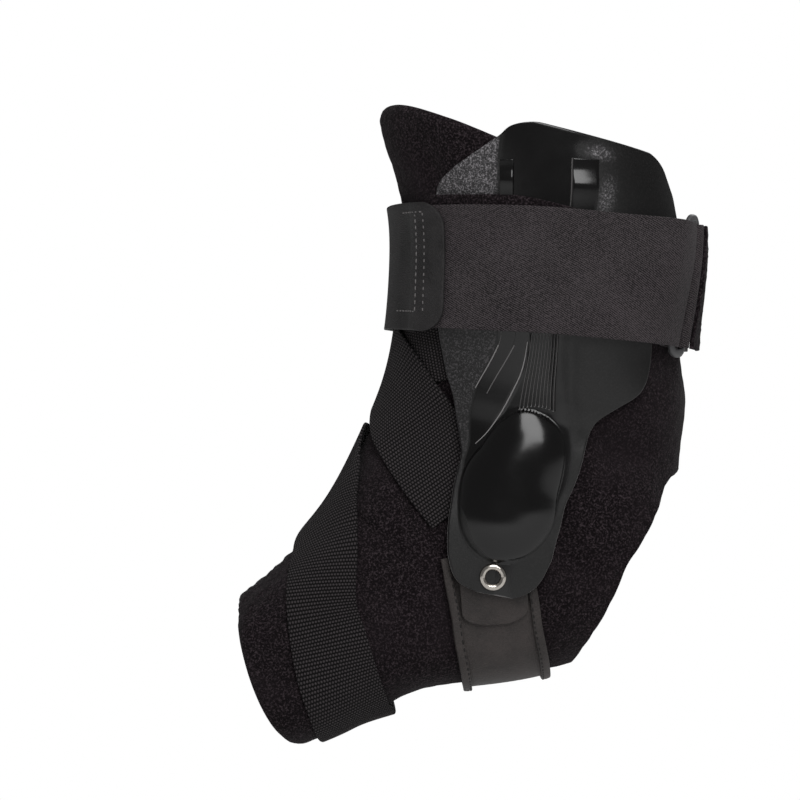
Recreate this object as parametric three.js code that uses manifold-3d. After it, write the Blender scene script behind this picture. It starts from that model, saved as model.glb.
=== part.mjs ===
// Ankle brace: a padded sleeve with an open heel, held by crossed elastic bands, two riveted
// side shells, a stirrup under the sole and a strap of two halves that meets at a ring.
// Millimetres. +X runs to the heel, -X to the toes, -Y is the near side and +Z is up.
// The origin is the middle of the ankle.
import * as THREE from 'three';
import { mergeVertices } from 'three/addons/utils/BufferGeometryUtils.js';
import Module from 'manifold-3d';

const wasm = await Module();
wasm.setup();

// The whole brace
const brace_length = 169;
const brace_height = 232;
const brace_width = 86;

// Cloth, webbing and padding
const sleeve_wall = 3.2;
const fold_depth = 2.4;
const elastic_thickness = 1;
const ankle_elastic_width = 32;
const instep_elastic_width = 27;
const instep_slack = 0.45;
const strap_thickness = 1.2;
const strap_width = 43;
const pad_thickness = 1.2;
const layer_gap = 0.35;
const padding_slack = 0.15;

// Side shells and rivets
const shell_length = 165;
const shell_width = 90;
const shell_wall = 2;
const dome_length = 52;
const dome_clearance = 4.5;
const dome_offset = 1.5;
const dome_width = 33;
const dome_height = 6.5;
const rib_width = 9;
const rib_height = 1;
const rivet_bore = 3.4;
const rivet_wall = 0.7;
const rivet_head = 9.4;
const rivet_head_height = 1.4;
const rivet_tail = 8;
const rivet_tail_height = 0.8;
const rivet_clearance = 0.4;

// Stirrup under the sole
const stirrup_width = 31;
const stirrup_thickness = 1.5;
const binding_width = 3.2;
const binding_thickness = 0.9;
const tongue_thickness = 1.2;
const tongue_end = 5;

// Closing strap, its ring and its grip tab
const grip_tab_overhang = 1.5;
const grip_tab_thickness = 1.2;
const grip_tab_corner = 9;
const ring_bar = 3;
const ring_bar_thickness = 2.2;
const ring_slack = 0.6;
const ring_spacing = 8.6;
const ring_clearance = 0.6;
const ring_lean = 4;

// Small sums of the sizes above, as heights over the sleeve's outer face
const first_layer = layer_gap;
const second_layer = first_layer + elastic_thickness + layer_gap;
const padded_gap = layer_gap + padding_slack;
const shell_floor = padded_gap + pad_thickness + padded_gap;
const stirrup_top = padded_gap + stirrup_thickness;
const tongue_floor = stirrup_top + layer_gap;
const tongue_riveted = tongue_floor + rivet_tail_height + layer_gap;
const shell_riveted = tongue_riveted + tongue_thickness + layer_gap;
const strap_over_shell = shell_floor + shell_wall + rib_height + layer_gap + strap_thickness / 2;
const strap_step = strap_thickness + layer_gap;

// Cross-sections of the form that the sleeve takes, from the toe opening to its top.
// front x, front z, back x, back z, half width, squareness, egg shape: lengths as shares of the
// brace's length, height and width
const sections = [
  [-0.601, -0.203, -0.475, -0.427, 0.471, 0.20, -0.16],
  [-0.522, -0.161, -0.351, -0.397, 0.459, 0.20, -0.16],
  [-0.458, -0.115, -0.241, -0.341, 0.442, 0.20, -0.16],
  [-0.396, -0.062, -0.128, -0.326, 0.424, 0.18, -0.14],
  [-0.351, -0.005, -0.006, -0.320, 0.413, 0.16, -0.12],
  [-0.317, 0.048, 0.138, -0.295, 0.407, 0.12, -0.10],
  [-0.290, 0.092, 0.298, -0.245, 0.401, 0.10, -0.08],
  [-0.268, 0.133, 0.373, -0.133, 0.401, 0.08, -0.06],
  [-0.253, 0.175, 0.330, -0.019, 0.413, 0.08, -0.04],
  [-0.243, 0.217, 0.369, 0.090, 0.430, 0.08, -0.03],
  [-0.236, 0.270, 0.347, 0.171, 0.453, 0.08, -0.02],
  [-0.232, 0.326, 0.351, 0.248, 0.471, 0.08, -0.02],
  [-0.232, 0.382, 0.354, 0.320, 0.483, 0.08, -0.02],
  [-0.245, 0.439, 0.343, 0.385, 0.488, 0.08, -0.02],
  [-0.275, 0.503, 0.326, 0.444, 0.494, 0.08, -0.02],
  [-0.296, 0.568, 0.317, 0.503, 0.500, 0.08, -0.02],
];

// Folds of the padded cloth, the same on both sides.
// angle, station, reach in degrees, reach in stations, depth as a share of the fold depth
const folds = [
  [41, 0.90, 9, 0.050, -1.0],
  [20, 0.94, 14, 0.050, 0.6],
  [140, 0.600, 26, 0.040, 0.8],
  [124, 0.542, 22, 0.018, -0.6],
  [130, 0.490, 20, 0.026, 0.6],
  [112, 0.402, 16, 0.018, -0.5],
  [86, 0.258, 20, 0.014, -0.4],
  [60, 0.280, 16, 0.026, 0.4],
];

// A place on the form is an angle in degrees, 0 along the front or instep, 90 on the near side and
// 180 along the sole or back, with a station from 0 at the toe opening to 1 at the top.
function section(station) {
  const last = sections.length - 1;
  const place = station * last;
  const first = THREE.MathUtils.clamp(Math.floor(place), 0, last - 1);
  const f = place - first;
  const weights = [
    (1 - f) ** 3,
    3 * f ** 3 - 6 * f ** 2 + 4,
    -3 * f ** 3 + 3 * f ** 2 + 3 * f + 1,
    f ** 3,
  ];
  const value = (row, column) => {
    if (row < 0) return 2 * sections[0][column] - sections[1][column];
    if (row > last) return 2 * sections[last][column] - sections[last - 1][column];
    return sections[row][column];
  };
  return sections[0].map((_, column) =>
    weights.reduce((sum, weight, i) => sum + (weight / 6) * value(first + i - 1, column), 0));
}

function form_point(angle, station) {
  const [front_x, front_z, back_x, back_z, half, square, egg] = section(station);
  const c = Math.cos(THREE.MathUtils.degToRad(angle));
  const s = Math.sin(THREE.MathUtils.degToRad(angle));
  const along = c * (1 + square * s * s);
  const across = s * (1 + square * c * c) * (1 + egg * c);
  return new THREE.Vector3(
    brace_length * ((front_x + back_x) / 2 + ((front_x - back_x) / 2) * along),
    -brace_width * half * across,
    brace_height * ((front_z + back_z) / 2 + ((front_z - back_z) / 2) * along),
  );
}

// The form's two tangents, per degree and per station, and its outward normal
function form_frame(angle, station) {
  const step = 0.001;
  const by_angle = form_point(angle + 1, station).sub(form_point(angle - 1, station)).divideScalar(2);
  const by_station = form_point(angle, station + step).sub(form_point(angle, station - step));
  by_station.divideScalar(2 * step);
  const normal = new THREE.Vector3().crossVectors(by_angle, by_station).normalize();
  return { by_angle, by_station, normal };
}

// Degrees round from the front, whichever way the angle was counted
function turn_from_front(angle) {
  return Math.abs(THREE.MathUtils.euclideanModulo(angle + 180, 360) - 180);
}

function fold_height(angle, station) {
  const turn = turn_from_front(angle);
  return folds.reduce((sum, [at, level, reach, rise, depth]) => {
    const away = ((turn - at) / reach) ** 2 + ((station - level) / rise) ** 2;
    return sum + fold_depth * depth * Math.exp(-away);
  }, 0);
}

function on_form(angle, station, height) {
  const lift = height + fold_height(angle, station);
  return form_point(angle, station).addScaledVector(form_frame(angle, station).normal, lift);
}

// A step of so many millimetres over the form, along a direction in space
function walk(place, direction, distance) {
  const { by_angle, by_station } = form_frame(place.angle, place.station);
  const aa = by_angle.dot(by_angle);
  const as = by_angle.dot(by_station);
  const ss = by_station.dot(by_station);
  const a = by_angle.dot(direction) * distance;
  const s = by_station.dot(direction) * distance;
  const det = aa * ss - as * as;
  return { angle: place.angle + (a * ss - s * as) / det, station: place.station + (s * aa - a * as) / det };
}

// A table's columns at a share of its length, on a smooth curve through its rows
function between(rows, share) {
  const last = rows.length - 1;
  const place = THREE.MathUtils.clamp(share, 0, 1) * last;
  const first = Math.min(Math.floor(place), last - 1);
  const f = place - first;
  const [before, start, end, after] = [-1, 0, 1, 2].map((i) =>
    rows[THREE.MathUtils.clamp(first + i, 0, last)]);
  return start.map((value, column) => {
    const slope = (end[column] - before[column]) / 2;
    const next_slope = (after[column] - value) / 2;
    const rise = end[column] - value;
    const bend = 3 * rise - 2 * slope - next_slope + f * (slope + next_slope - 2 * rise);
    return value + f * (slope + f * bend);
  });
}

// A closed body from a geometry: one vertex at each corner, and faces that point out
function body_of(geometry) {
  geometry.deleteAttribute('normal');
  geometry.deleteAttribute('uv');
  const body = mergeVertices(geometry, 1e-4);
  const { position } = body.attributes;
  const corner = (i) => new THREE.Vector3().fromBufferAttribute(position, body.index.getX(i));
  let volume = 0;
  for (let i = 0; i < body.index.count; i += 3) {
    volume += corner(i).dot(corner(i + 1).cross(corner(i + 2)));
  }
  if (volume < 0) body.index.array.reverse();
  return body;
}

// Moves every vertex of a geometry to the place that a function gives for it
function moulded(geometry, place) {
  const position = geometry.attributes.position;
  for (let i = 0; i < position.count; i += 1) {
    const point = place(position.getX(i), position.getY(i), position.getZ(i));
    position.setXYZ(i, point.x, point.y, point.z);
  }
  return body_of(geometry);
}

function mirrored(body) {
  return body_of(body.clone().scale(1, -1, 1));
}

function solid_of(body) {
  return new wasm.Manifold(new wasm.Mesh({
    numProp: 3,
    vertProperties: new Float32Array(body.attributes.position.array),
    triVerts: new Uint32Array(body.index.array),
  }));
}

function geometry_of(solid) {
  const mesh = solid.getMesh();
  const geometry = new THREE.BufferGeometry();
  geometry.setAttribute('position', new THREE.BufferAttribute(mesh.vertProperties, 3));
  geometry.setIndex(new THREE.BufferAttribute(mesh.triVerts, 1));
  return geometry;
}

// Distances along a panel for its cross rows, closer together where an end is rounded
function row_distances(length, rows, round_start, round_end) {
  const arc_rows = 3;
  const arc = (reach) => Array.from({ length: arc_rows }, (_, i) =>
    reach * (1 - Math.cos((i / arc_rows) * (Math.PI / 2))));
  const start = round_start > 0 ? arc(round_start) : [];
  const end = round_end > 0 ? arc(round_end).map((d) => length - d).reverse() : [];
  const middle = Array.from({ length: rows + 1 }, (_, i) =>
    round_start + ((length - round_start - round_end) * i) / rows);
  return [...start, ...middle, ...end];
}

// Distances reached along a course, at even shares of it
const course_samples = 240;

function course_point(course, share) {
  const [angle, station, height] = between(course, share);
  return on_form(angle, station, height);
}

function distances_along(course) {
  const lengths = [0];
  for (let i = 1; i <= course_samples; i += 1) {
    const before = course_point(course, (i - 1) / course_samples);
    lengths.push(lengths[i - 1] + before.distanceTo(course_point(course, i / course_samples)));
  }
  return lengths;
}

// A strip of even thickness along a course over the form. A course row holds angle, station, height
// over the sleeve, and the reach to the two sides as shares of the width. round_start and round_end
// round its ends: how far along, and how far in from each side. relief adds height at a place.
function panel({
  course, width, thickness, rows, across, round_start = [0, 0], round_end = [0, 0], relief,
}) {
  const lengths = distances_along(course);
  const length = lengths[course_samples];
  const share_of = (distance) => {
    const next = lengths.findIndex((reached) => reached >= distance - 1e-9);
    if (next <= 0) return next < 0 ? 1 : 0;
    const within = (distance - lengths[next - 1]) / (lengths[next] - lengths[next - 1]);
    return (next - 1 + within) / course_samples;
  };
  const inset = (distance, [along, aside]) => {
    const short = along > 0 ? THREE.MathUtils.clamp(1 - distance / along, 0, 1) : 0;
    return aside * (1 - Math.sqrt(1 - short * short));
  };
  const distances = row_distances(length, rows, round_start[0], round_end[0]);

  const grid = distances.map((distance) => {
    const share = share_of(distance);
    const [angle, station, height, front, rear] = between(course, share);
    const ahead = course_point(course, Math.min(share + 0.004, 1));
    const tangent = ahead.sub(course_point(course, Math.max(share - 0.004, 0))).normalize();
    const narrowed = inset(distance, round_start) + inset(length - distance, round_end);
    const reach = [front * width - narrowed, rear * width - narrowed];
    return Array.from({ length: across + 1 }, (_, i) => {
      const aside = -reach[0] + ((reach[0] + reach[1]) * i) / across;
      const steps = Math.max(1, Math.ceil(Math.abs(aside) / 4));
      let place = { angle, station };
      for (let k = 0; k < steps; k += 1) {
        const { normal } = form_frame(place.angle, place.station);
        const sideways = normal.cross(tangent).normalize();
        place = walk(place, sideways, aside / steps);
      }
      const extra = relief ? relief(distance, aside, place) : 0;
      return { ...place, height: height + extra };
    });
  });

  const sheet = new THREE.BoxGeometry(1, 1, 1, distances.length - 1, across, 1);
  return moulded(sheet, (x, y, z) => {
    const row = Math.round((x + 0.5) * (distances.length - 1));
    const { angle, station, height } = grid[row][Math.round((y + 0.5) * across)];
    return on_form(angle, station, z > 0 ? height + thickness : height);
  });
}

// The same reach to both sides for every row of a course
function even(course, share = 0.5) {
  return course.map(([angle, station, height]) => [angle, station, height, share, share]);
}

const parts = new THREE.Group();

function add(name, geometry, look) {
  const mesh = new THREE.Mesh(geometry, new THREE.MeshStandardMaterial(look));
  mesh.name = name;
  parts.add(mesh);
}

const padded_cloth = { color: 0x1b1819, roughness: 0.95, metalness: 0 };
const elastic = { color: 0x262324, roughness: 0.9, metalness: 0 };
const strap_cloth = { color: 0x302c2d, roughness: 0.85, metalness: 0 };
const shell_plastic = { color: 0x1a191a, roughness: 0.3, metalness: 0 };
const coated_fabric = { color: 0x39363a, roughness: 0.6, metalness: 0 };
const ring_plastic = { color: 0x3a3a3c, roughness: 0.5, metalness: 0 };
const bright_metal = { color: 0xc9c6c0, roughness: 0.2, metalness: 1 };

// Sleeve: a bent tube of padded cloth, cut open round the heel
const sleeve_columns = 28;
const sleeve_rows = 22;
const toe_edge = { middle: 0.012, side: -0.006 };
// The height of the top edge, from the front round to the back in even steps of the angle
const top_edge = [[0.978], [0.991], [0.975], [0.940], [0.918], [0.905], [0.900]];
// station, half opening in degrees from the back
const heel_opening = [
  [0.321, 9], [0.341, 29], [0.359, 38], [0.391, 49], [0.408, 53], [0.432, 56],
  [0.448, 54], [0.466, 50], [0.488, 44.5], [0.508, 37], [0.524, 31], [0.536, 23], [0.545, 8],
];

function sleeve() {
  const profile = [];
  for (let i = 0; i <= sleeve_rows; i += 1) profile.push(new THREE.Vector2(2, i / sleeve_rows));
  for (let i = sleeve_rows; i >= 0; i -= 1) profile.push(new THREE.Vector2(1, i / sleeve_rows));
  profile.push(profile[0].clone());
  const tube = moulded(new THREE.LatheGeometry(profile, sleeve_columns), (x, y, z) => {
    const angle = THREE.MathUtils.radToDeg(Math.atan2(x, z));
    const side = Math.sin(THREE.MathUtils.degToRad(angle)) ** 2;
    const low = THREE.MathUtils.lerp(toe_edge.middle, toe_edge.side, side);
    const [high] = between(top_edge, turn_from_front(angle) / 180);
    const outside = Math.hypot(x, z) > 1.5;
    return on_form(angle, THREE.MathUtils.lerp(low, high, y), outside ? 0 : -sleeve_wall);
  });
  const hole = moulded(new THREE.BoxGeometry(1, 1, 1, 8, 16, 1), (x, y, z) => {
    const [station, half] = between(heel_opening, y + 0.5);
    return on_form(180 + 2 * half * x, station, z > 0 ? 3 * sleeve_wall : -3 * sleeve_wall);
  });
  return geometry_of(solid_of(tube).subtract(solid_of(hole)));
}
add('sleeve', sleeve(), padded_cloth);

// Ankle bands: one from each side of the foot, up over the front to the other side of the leg.
// angle, station, height
const over = second_layer;
const under = first_layer;
function ankle_course(crossing) {
  return [
    [75.5, 0.379, under], [65, 0.389, under], [55, 0.402, under], [47, 0.414, under],
    [39, 0.430, crossing], [30, 0.450, crossing], [19, 0.478, crossing], [2, 0.513, crossing],
    [-14, 0.546, crossing], [-28, 0.575, crossing], [-40, 0.598, crossing], [-48, 0.612, under],
    [-57, 0.624, under],
  ];
}
const ankle_strip = { width: ankle_elastic_width, thickness: elastic_thickness, rows: 20, across: 3 };
add('ankle_band', panel({ ...ankle_strip, course: even(ankle_course(over)) }), elastic);
add('cross_band', mirrored(panel({ ...ankle_strip, course: even(ankle_course(under)) })), elastic);

// Instep band: one long elastic. It starts on the far side of the instep, crosses it, wraps the
// near side and the sole, comes up the far side and ends under itself on the instep.
// angle, station, height, reach to both sides as a share of its width
const instep_under = first_layer + instep_slack;
const instep_over = instep_under + elastic_thickness + layer_gap;
const instep_course = [
  [-14, 0.300, instep_over, 0.61], [-4, 0.274, instep_over, 0.61], [8, 0.240, instep_over, 0.61],
  [23, 0.198, instep_over, 0.58], [36, 0.175, instep_under, 0.53], [48, 0.158, instep_under, 0.49],
  [72, 0.119, instep_under, 0.45], [91, 0.103, instep_under, 0.49], [111, 0.093, instep_under, 0.51],
  [140, 0.088, instep_under, 0.52], [160, 0.087, instep_under, 0.52], [180, 0.087, instep_under, 0.52],
  [200, 0.087, instep_under, 0.52], [220, 0.088, instep_under, 0.52], [249, 0.093, instep_under, 0.51],
  [269, 0.103, instep_under, 0.49], [288, 0.119, instep_under, 0.45], [312, 0.158, instep_under, 0.49],
  [324, 0.175, instep_under, 0.53], [337, 0.198, instep_under, 0.56], [352, 0.240, instep_under, 0.58],
  [365, 0.278, instep_under, 0.58],
].map(([angle, station, height, reach]) => [angle, station, height, reach, reach]);
// Under the arch the band runs straight on, clear of the hollow of the sole
const arch_gap = 5;
function arch_relief(distance, aside, { angle, station }) {
  const sole = THREE.MathUtils.smoothstep(turn_from_front(angle), 128, 165);
  return arch_gap * sole * THREE.MathUtils.smoothstep(station, 0.07, 0.135);
}
add('instep_band', panel({
  course: instep_course,
  width: instep_elastic_width,
  thickness: elastic_thickness,
  rows: 42,
  across: 3,
  relief: arch_relief,
}), elastic);

// Stirrup: a flat coated strap under the sole, bound along both edges, whose ends lie behind the
// shells. Each end carries a tongue that the shell is riveted to.
// angle, station
const stirrup_half = [
  [90.5, 0.344], [99, 0.324], [108, 0.307], [121, 0.286], [138, 0.270], [158, 0.260], [180, 0.257],
];
const stirrup_path = [
  ...stirrup_half,
  ...stirrup_half.slice(0, -1).reverse().map(([angle, station]) => [360 - angle, station]),
];
const stirrup_course = (height, front, rear) =>
  stirrup_path.map(([angle, station]) => [angle, station, height, front, rear]);
add('stirrup_strap', panel({
  course: stirrup_course(padded_gap, 0.5, 0.5),
  width: stirrup_width,
  thickness: stirrup_thickness,
  rows: 20,
  across: 3,
}), coated_fabric);

const binding_share = binding_width / stirrup_width;
const binding = { width: stirrup_width, thickness: binding_thickness, rows: 20, across: 1 };
for (const [name, front, rear] of [
  ['stirrup_binding_front', 0.5, binding_share - 0.5],
  ['stirrup_binding_rear', binding_share - 0.5, 0.5],
]) {
  add(name, panel({ ...binding, course: stirrup_course(tongue_floor, front, rear) }), coated_fabric);
}

// angle, station, share of the way up to the rivet's height
const rivet_place = { angle: 99, station: 0.328 };
const tongue_course = [
  [92, 0.342, 1], [rivet_place.angle, rivet_place.station, 1], [104.5, 0.315, 0.6],
  [109.5, 0.304, 0.1], [115.5, 0.293, 0],
].map(([angle, station, rise]) =>
  [angle, station, THREE.MathUtils.lerp(tongue_floor, tongue_riveted, rise), 0.5, 0.5]);
const tongue_width = stirrup_width - 2 * (binding_width + 2 * layer_gap);
const tongue = panel({
  course: tongue_course,
  width: tongue_width,
  thickness: tongue_thickness,
  rows: 5,
  across: 3,
  round_end: [tongue_end, tongue_width * 0.42],
});

// Side shells: thin moulded plates, broad on the leg and narrowing to a domed cup over the ankle
// bone. The spine runs from the top edge down to the end below the rivet. Its part over the strap
// is stretched to give the shell its length.
// angle, station
const drawn_spine = [
  [106.5, 0.990], [99, 0.907], [91.5, 0.821], [87.8, 0.741], [85.1, 0.671], [82.4, 0.600],
  [81.4, 0.542], [80.8, 0.483], [82.2, 0.430], [87.2, 0.390], [94.7, 0.355], [105.6, 0.318],
];
// distance down the spine as a share of the shell's length, then the reach to the front and to the
// rear as shares of its width, and how far it has risen to the rivet's height
const shell_outline = [
  [0.000, 0.15, 0.36, 0], [0.045, 0.27, 0.42, 0], [0.100, 0.39, 0.49, 0], [0.150, 0.46, 0.535, 0],
  [0.205, 0.455, 0.50, 0], [0.260, 0.44, 0.46, 0], [0.320, 0.415, 0.455, 0], [0.370, 0.385, 0.46, 0],
  [0.415, 0.36, 0.465, 0], [0.460, 0.333, 0.445, 0], [0.505, 0.295, 0.375, 0], [0.550, 0.245, 0.315, 0.1],
  [0.600, 0.215, 0.28, 0.2], [0.680, 0.195, 0.25, 0.5], [0.765, 0.205, 0.223, 0.8],
  [0.840, 0.212, 0.206, 1], [0.915, 0.208, 0.186, 1], [0.955, 0.185, 0.15, 1], [0.980, 0.15, 0.105, 1],
  [1.000, 0.085, 0.05, 1],
];
const shell_pitch = 60;

const on_shell_floor = (rows) => rows.map(([angle, station]) => [angle, station, shell_floor]);
const drawn_lengths = distances_along(on_shell_floor(drawn_spine));
const drawn_length = drawn_lengths[course_samples];
const shoulder_row = 2;
const shoulder = drawn_spine[shoulder_row][1];
const over_shoulder =
  drawn_lengths[Math.round((shoulder_row / (drawn_spine.length - 1)) * course_samples)];
const stretch = 1 + (shell_length - drawn_length) / over_shoulder;
const stretched = (station) => station + Math.max(0, station - shoulder) * (stretch - 1);
const spine = drawn_spine.map(([angle, station]) => [angle, stretched(station)]);

// The dome ends a clearance above the rivet's head
const spine_lengths = distances_along(on_shell_floor(spine));
const rivet_row = spine_lengths.findIndex((_, i) =>
  between(spine, i / course_samples)[1] <= rivet_place.station);
const dome_centre = spine_lengths[rivet_row] - rivet_head / 2 - dome_clearance - dome_length / 2;

// The shell's outline rows spread over its spine
function shell_course(narrower = 0) {
  return Array.from({ length: shell_pitch + 1 }, (_, i) => {
    const share = i / shell_pitch;
    const [angle, station] = between(spine, share);
    const next = Math.max(1, shell_outline.findIndex(([reached]) => reached >= share - 1e-9));
    const [down, next_down] = [shell_outline[next - 1][0], shell_outline[next][0]];
    const row = next - 1 + (share - down) / (next_down - down);
    const [, front, rear, rise] = between(shell_outline, row / (shell_outline.length - 1));
    const height = THREE.MathUtils.lerp(shell_floor, shell_riveted, rise);
    return [angle, station, height, front - narrower / shell_width, rear - narrower / shell_width];
  });
}

function dome(distance, aside) {
  const along = (distance - dome_centre) / (dome_length / 2);
  const out = (aside - dome_offset) / (dome_width / 2);
  return dome_height * Math.max(0, 1 - along * along - out * out) ** 0.8;
}

// A raised rib on the shell: angle, station, width share
const ribs = [
  [[79.4, 0.915, 0.3], [75.8, 0.852, 0.3], [73.8, 0.754, 0.3], [74.7, 0.677, 0.3], [75.5, 0.623, 0.28],
    [71.8, 0.580, 0.22], [68.8, 0.546, 0.16]],
  [[108.5, 0.938, 0.54], [104, 0.867, 0.54], [99.7, 0.772, 0.5], [98.8, 0.698, 0.46],
    [98.1, 0.658, 0.43], [97.5, 0.600, 0.32], [99.5, 0.566, 0.24]],
];

function shell() {
  const plate = panel({
    course: shell_course(),
    width: shell_width,
    thickness: shell_wall,
    rows: 25,
    across: 10,
    relief: dome,
  });
  const sunk = shell_wall / 2;
  const raised = ribs.map((rows) => panel({
    course: rows.map(([angle, station, share]) =>
      [angle, stretched(station), shell_floor + sunk, share, share]),
    width: rib_width,
    thickness: shell_wall - sunk + rib_height,
    rows: 9,
    across: 1,
  }));
  return raised.reduce((solid, rib) => solid.add(solid_of(rib)), solid_of(plate));
}

// A round thing on the form's normal, from its profile of radius and height over the sleeve
function turned_on_form(profile, place, segments) {
  const { normal } = form_frame(place.angle, place.station);
  const turn = new THREE.Quaternion().setFromUnitVectors(new THREE.Vector3(0, 1, 0), normal);
  const foot = on_form(place.angle, place.station, 0);
  const lathe = new THREE.LatheGeometry(profile.map(([r, h]) => new THREE.Vector2(r, h)), segments);
  return body_of(lathe.applyQuaternion(turn).translate(foot.x, foot.y, foot.z));
}

const rivet_sides = 12;
const rivet_shank = rivet_bore / 2 + rivet_wall;
const shell_face = shell_riveted + shell_wall + rivet_clearance;
const tail_face = tongue_riveted - rivet_clearance;
const rivet = turned_on_form([
  [rivet_bore / 2, tail_face - rivet_tail_height], [rivet_tail / 2, tail_face - rivet_tail_height],
  [rivet_tail / 2, tail_face], [rivet_shank, tail_face], [rivet_shank, shell_face],
  [rivet_head / 2, shell_face], [rivet_head / 2, shell_face + 0.4 * rivet_head_height],
  [0.42 * rivet_head, shell_face + 0.85 * rivet_head_height],
  [0.34 * rivet_head, shell_face + rivet_head_height],
  [0.26 * rivet_head, shell_face + 0.85 * rivet_head_height], [rivet_bore / 2, shell_face],
  [rivet_bore / 2, tail_face - rivet_tail_height],
], rivet_place, rivet_sides);
const rivet_hole = solid_of(turned_on_form([
  [0, -sleeve_wall], [rivet_shank + rivet_clearance, -sleeve_wall],
  [rivet_shank + rivet_clearance, shell_face + 4 * shell_wall], [0, shell_face + 4 * shell_wall],
], rivet_place, rivet_sides));

const shell_body = body_of(geometry_of(shell().subtract(rivet_hole)));
const tongue_body = body_of(geometry_of(solid_of(tongue).subtract(rivet_hole)));

// Shell pads: thin liners between the broad part of each shell and the sleeve
const pad_edge = 1.5;
const pad_share = 0.36;
const pad_front = 0.11;
const pad_rear = 0.45;
const pad = panel({
  course: shell_course(pad_edge)
    .filter((_, i) => i / shell_pitch > 0.02 && i / shell_pitch < pad_share)
    .map(([angle, station, , front, rear]) =>
      [angle, station, padded_gap, front - pad_front, Math.min(rear, pad_rear)]),
  width: shell_width,
  thickness: pad_thickness,
  rows: 7,
  across: 11,
});
const sides = [['medial', (body) => body], ['lateral', mirrored]];
for (const [side, placed] of sides) {
  add(`shell_pad_${side}`, placed(pad), padded_cloth);
  add(`stirrup_tongue_${side}`, placed(tongue_body), coated_fabric);
  add(`shell_${side}`, placed(shell_body), shell_plastic);
  add(`rivet_${side}`, placed(rivet), bright_metal);
}

// Closing strap. All its pieces share one course round the leg, with the ring behind the near
// shell. The ring leans out at its top and follows the taper of the leg.
const strap_stations = [[0.715], [0.722], [0.736], [0.751], [0.758], [0.760], [0.760]];
const ring_angle = 152;
const ring_skew = 8;
const ring_fade = 45;
const strap_girth = 1.2 * Math.PI * brace_width;
const degree = strap_girth / 360;
const ring_height = 1.6 * strap_step + ring_bar_thickness / 2 + ring_slack - layer_gap;

function on_strap(angle, across, height) {
  const from_ring = Math.abs(THREE.MathUtils.euclideanModulo(angle - ring_angle + 180, 360) - 180);
  const near_ring = 1 - THREE.MathUtils.smoothstep(from_ring, ring_spacing, ring_fade);
  const turned = angle + ring_skew * (across / strap_width) * near_ring;
  const [station] = between(strap_stations, turn_from_front(turned) / 180);
  let place = { angle: turned, station };
  for (let k = 0; k < 4; k += 1) {
    const up = form_frame(place.angle, place.station).by_station.normalize();
    place = walk(place, up, across / 4);
    place.angle = turned;
  }
  const lean = ring_lean * (across / strap_width + 0.5) * near_ring;
  return on_form(place.angle, place.station, height + lean);
}

// A band of the strap from its middle line, given as rows of angle and height. corner rounds the
// end that comes last.
function strap_band(line, {
  width = strap_width, thickness = strap_thickness, corner = 0, across = 3,
} = {}) {
  const points = line.map(([angle, height]) => new THREE.Vector2(angle * degree, height));
  const last = points.length - 1;
  const across_line = points.map((point, i) => {
    const next = points[Math.min(i + 1, last)];
    const along = next.clone().sub(points[Math.max(i - 1, 0)]).normalize();
    return new THREE.Vector2(-along.y, along.x).multiplyScalar(thickness);
  });
  const widths = points.map((point) => {
    const short = Math.max(0, 1 - Math.abs(points[last].x - point.x) / corner);
    return corner > 0 ? width - 2 * corner * (1 - Math.sqrt(1 - short * short)) : width;
  });
  const band = new THREE.BoxGeometry(1, 1, 1, last, across, 1);
  return moulded(band, (x, y, z) => {
    const i = Math.round((x + 0.5) * last);
    const point = points[i].clone().addScaledVector(across_line[i], z);
    return on_strap(point.x / degree, y * widths[i], point.y);
  });
}

// Rows between two angles at one height, close enough to follow the leg
function run(from, to, height, pieces) {
  return Array.from({ length: pieces + 1 }, (_, i) => [from + ((to - from) * i) / pieces, height]);
}

// A half turn round a bar of the ring, from outside it to inside it, opening to one side
function half_turn(bar_angle, opening) {
  const radius = ring_bar_thickness / 2 + ring_slack + strap_thickness / 2;
  const reach = radius + (ring_bar - ring_bar_thickness) / 2;
  return [90, 60, 30, 0, -30, -60, -90].map((degrees) => {
    const turn = THREE.MathUtils.degToRad(degrees);
    return [bar_angle + (opening * reach * Math.cos(turn)) / degree, ring_height + radius * Math.sin(turn)];
  });
}

const front_bar = ring_angle - ring_spacing / 2 / degree;
const rear_bar = ring_angle + ring_spacing / 2 / degree;
const outer_run = strap_over_shell + strap_step;
const wrap_outer = ring_height + ring_bar_thickness / 2 + ring_slack + strap_thickness / 2;
const wrap_inner = 2 * ring_height - wrap_outer;

add('cuff_band', strap_band([
  [35, 0.43 * outer_run], [38.5, 0.68 * outer_run], [42, 0.9 * outer_run], [46, outer_run],
  ...run(51, 133, outer_run, 11),
  [138, outer_run - 0.13 * strap_step], [142, wrap_outer + 0.52 * strap_step],
  ...half_turn(front_bar, 1),
  [144.5, wrap_inner + 0.13 * strap_step], [141.5, wrap_inner + 1.16 * strap_step],
  [138, strap_over_shell - 0.32 * strap_step],
  ...run(133, 40.5, strap_over_shell, 13),
]), strap_cloth);

const full_turn = 360;
const strap_over_bands = second_layer + elastic_thickness + layer_gap + strap_thickness / 2;
add('closure_strap', strap_band([
  ...run(29, -29, strap_over_bands, 9),
  [-33, strap_over_bands + 0.32 * strap_step], [-37, strap_over_shell - 0.45 * strap_step],
  ...run(-42, -156, strap_over_shell, 15),
  [-164, strap_over_shell - 0.77 * strap_step], [-174, wrap_inner + 0.9 * strap_step],
  [-184, wrap_inner + 0.32 * strap_step], [-194, wrap_inner + 0.06 * strap_step],
  ...half_turn(rear_bar - full_turn, -1).reverse(),
  [-196, wrap_outer], [-189, wrap_outer], [-183, wrap_outer - 0.06 * strap_step],
]), strap_cloth);

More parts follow.
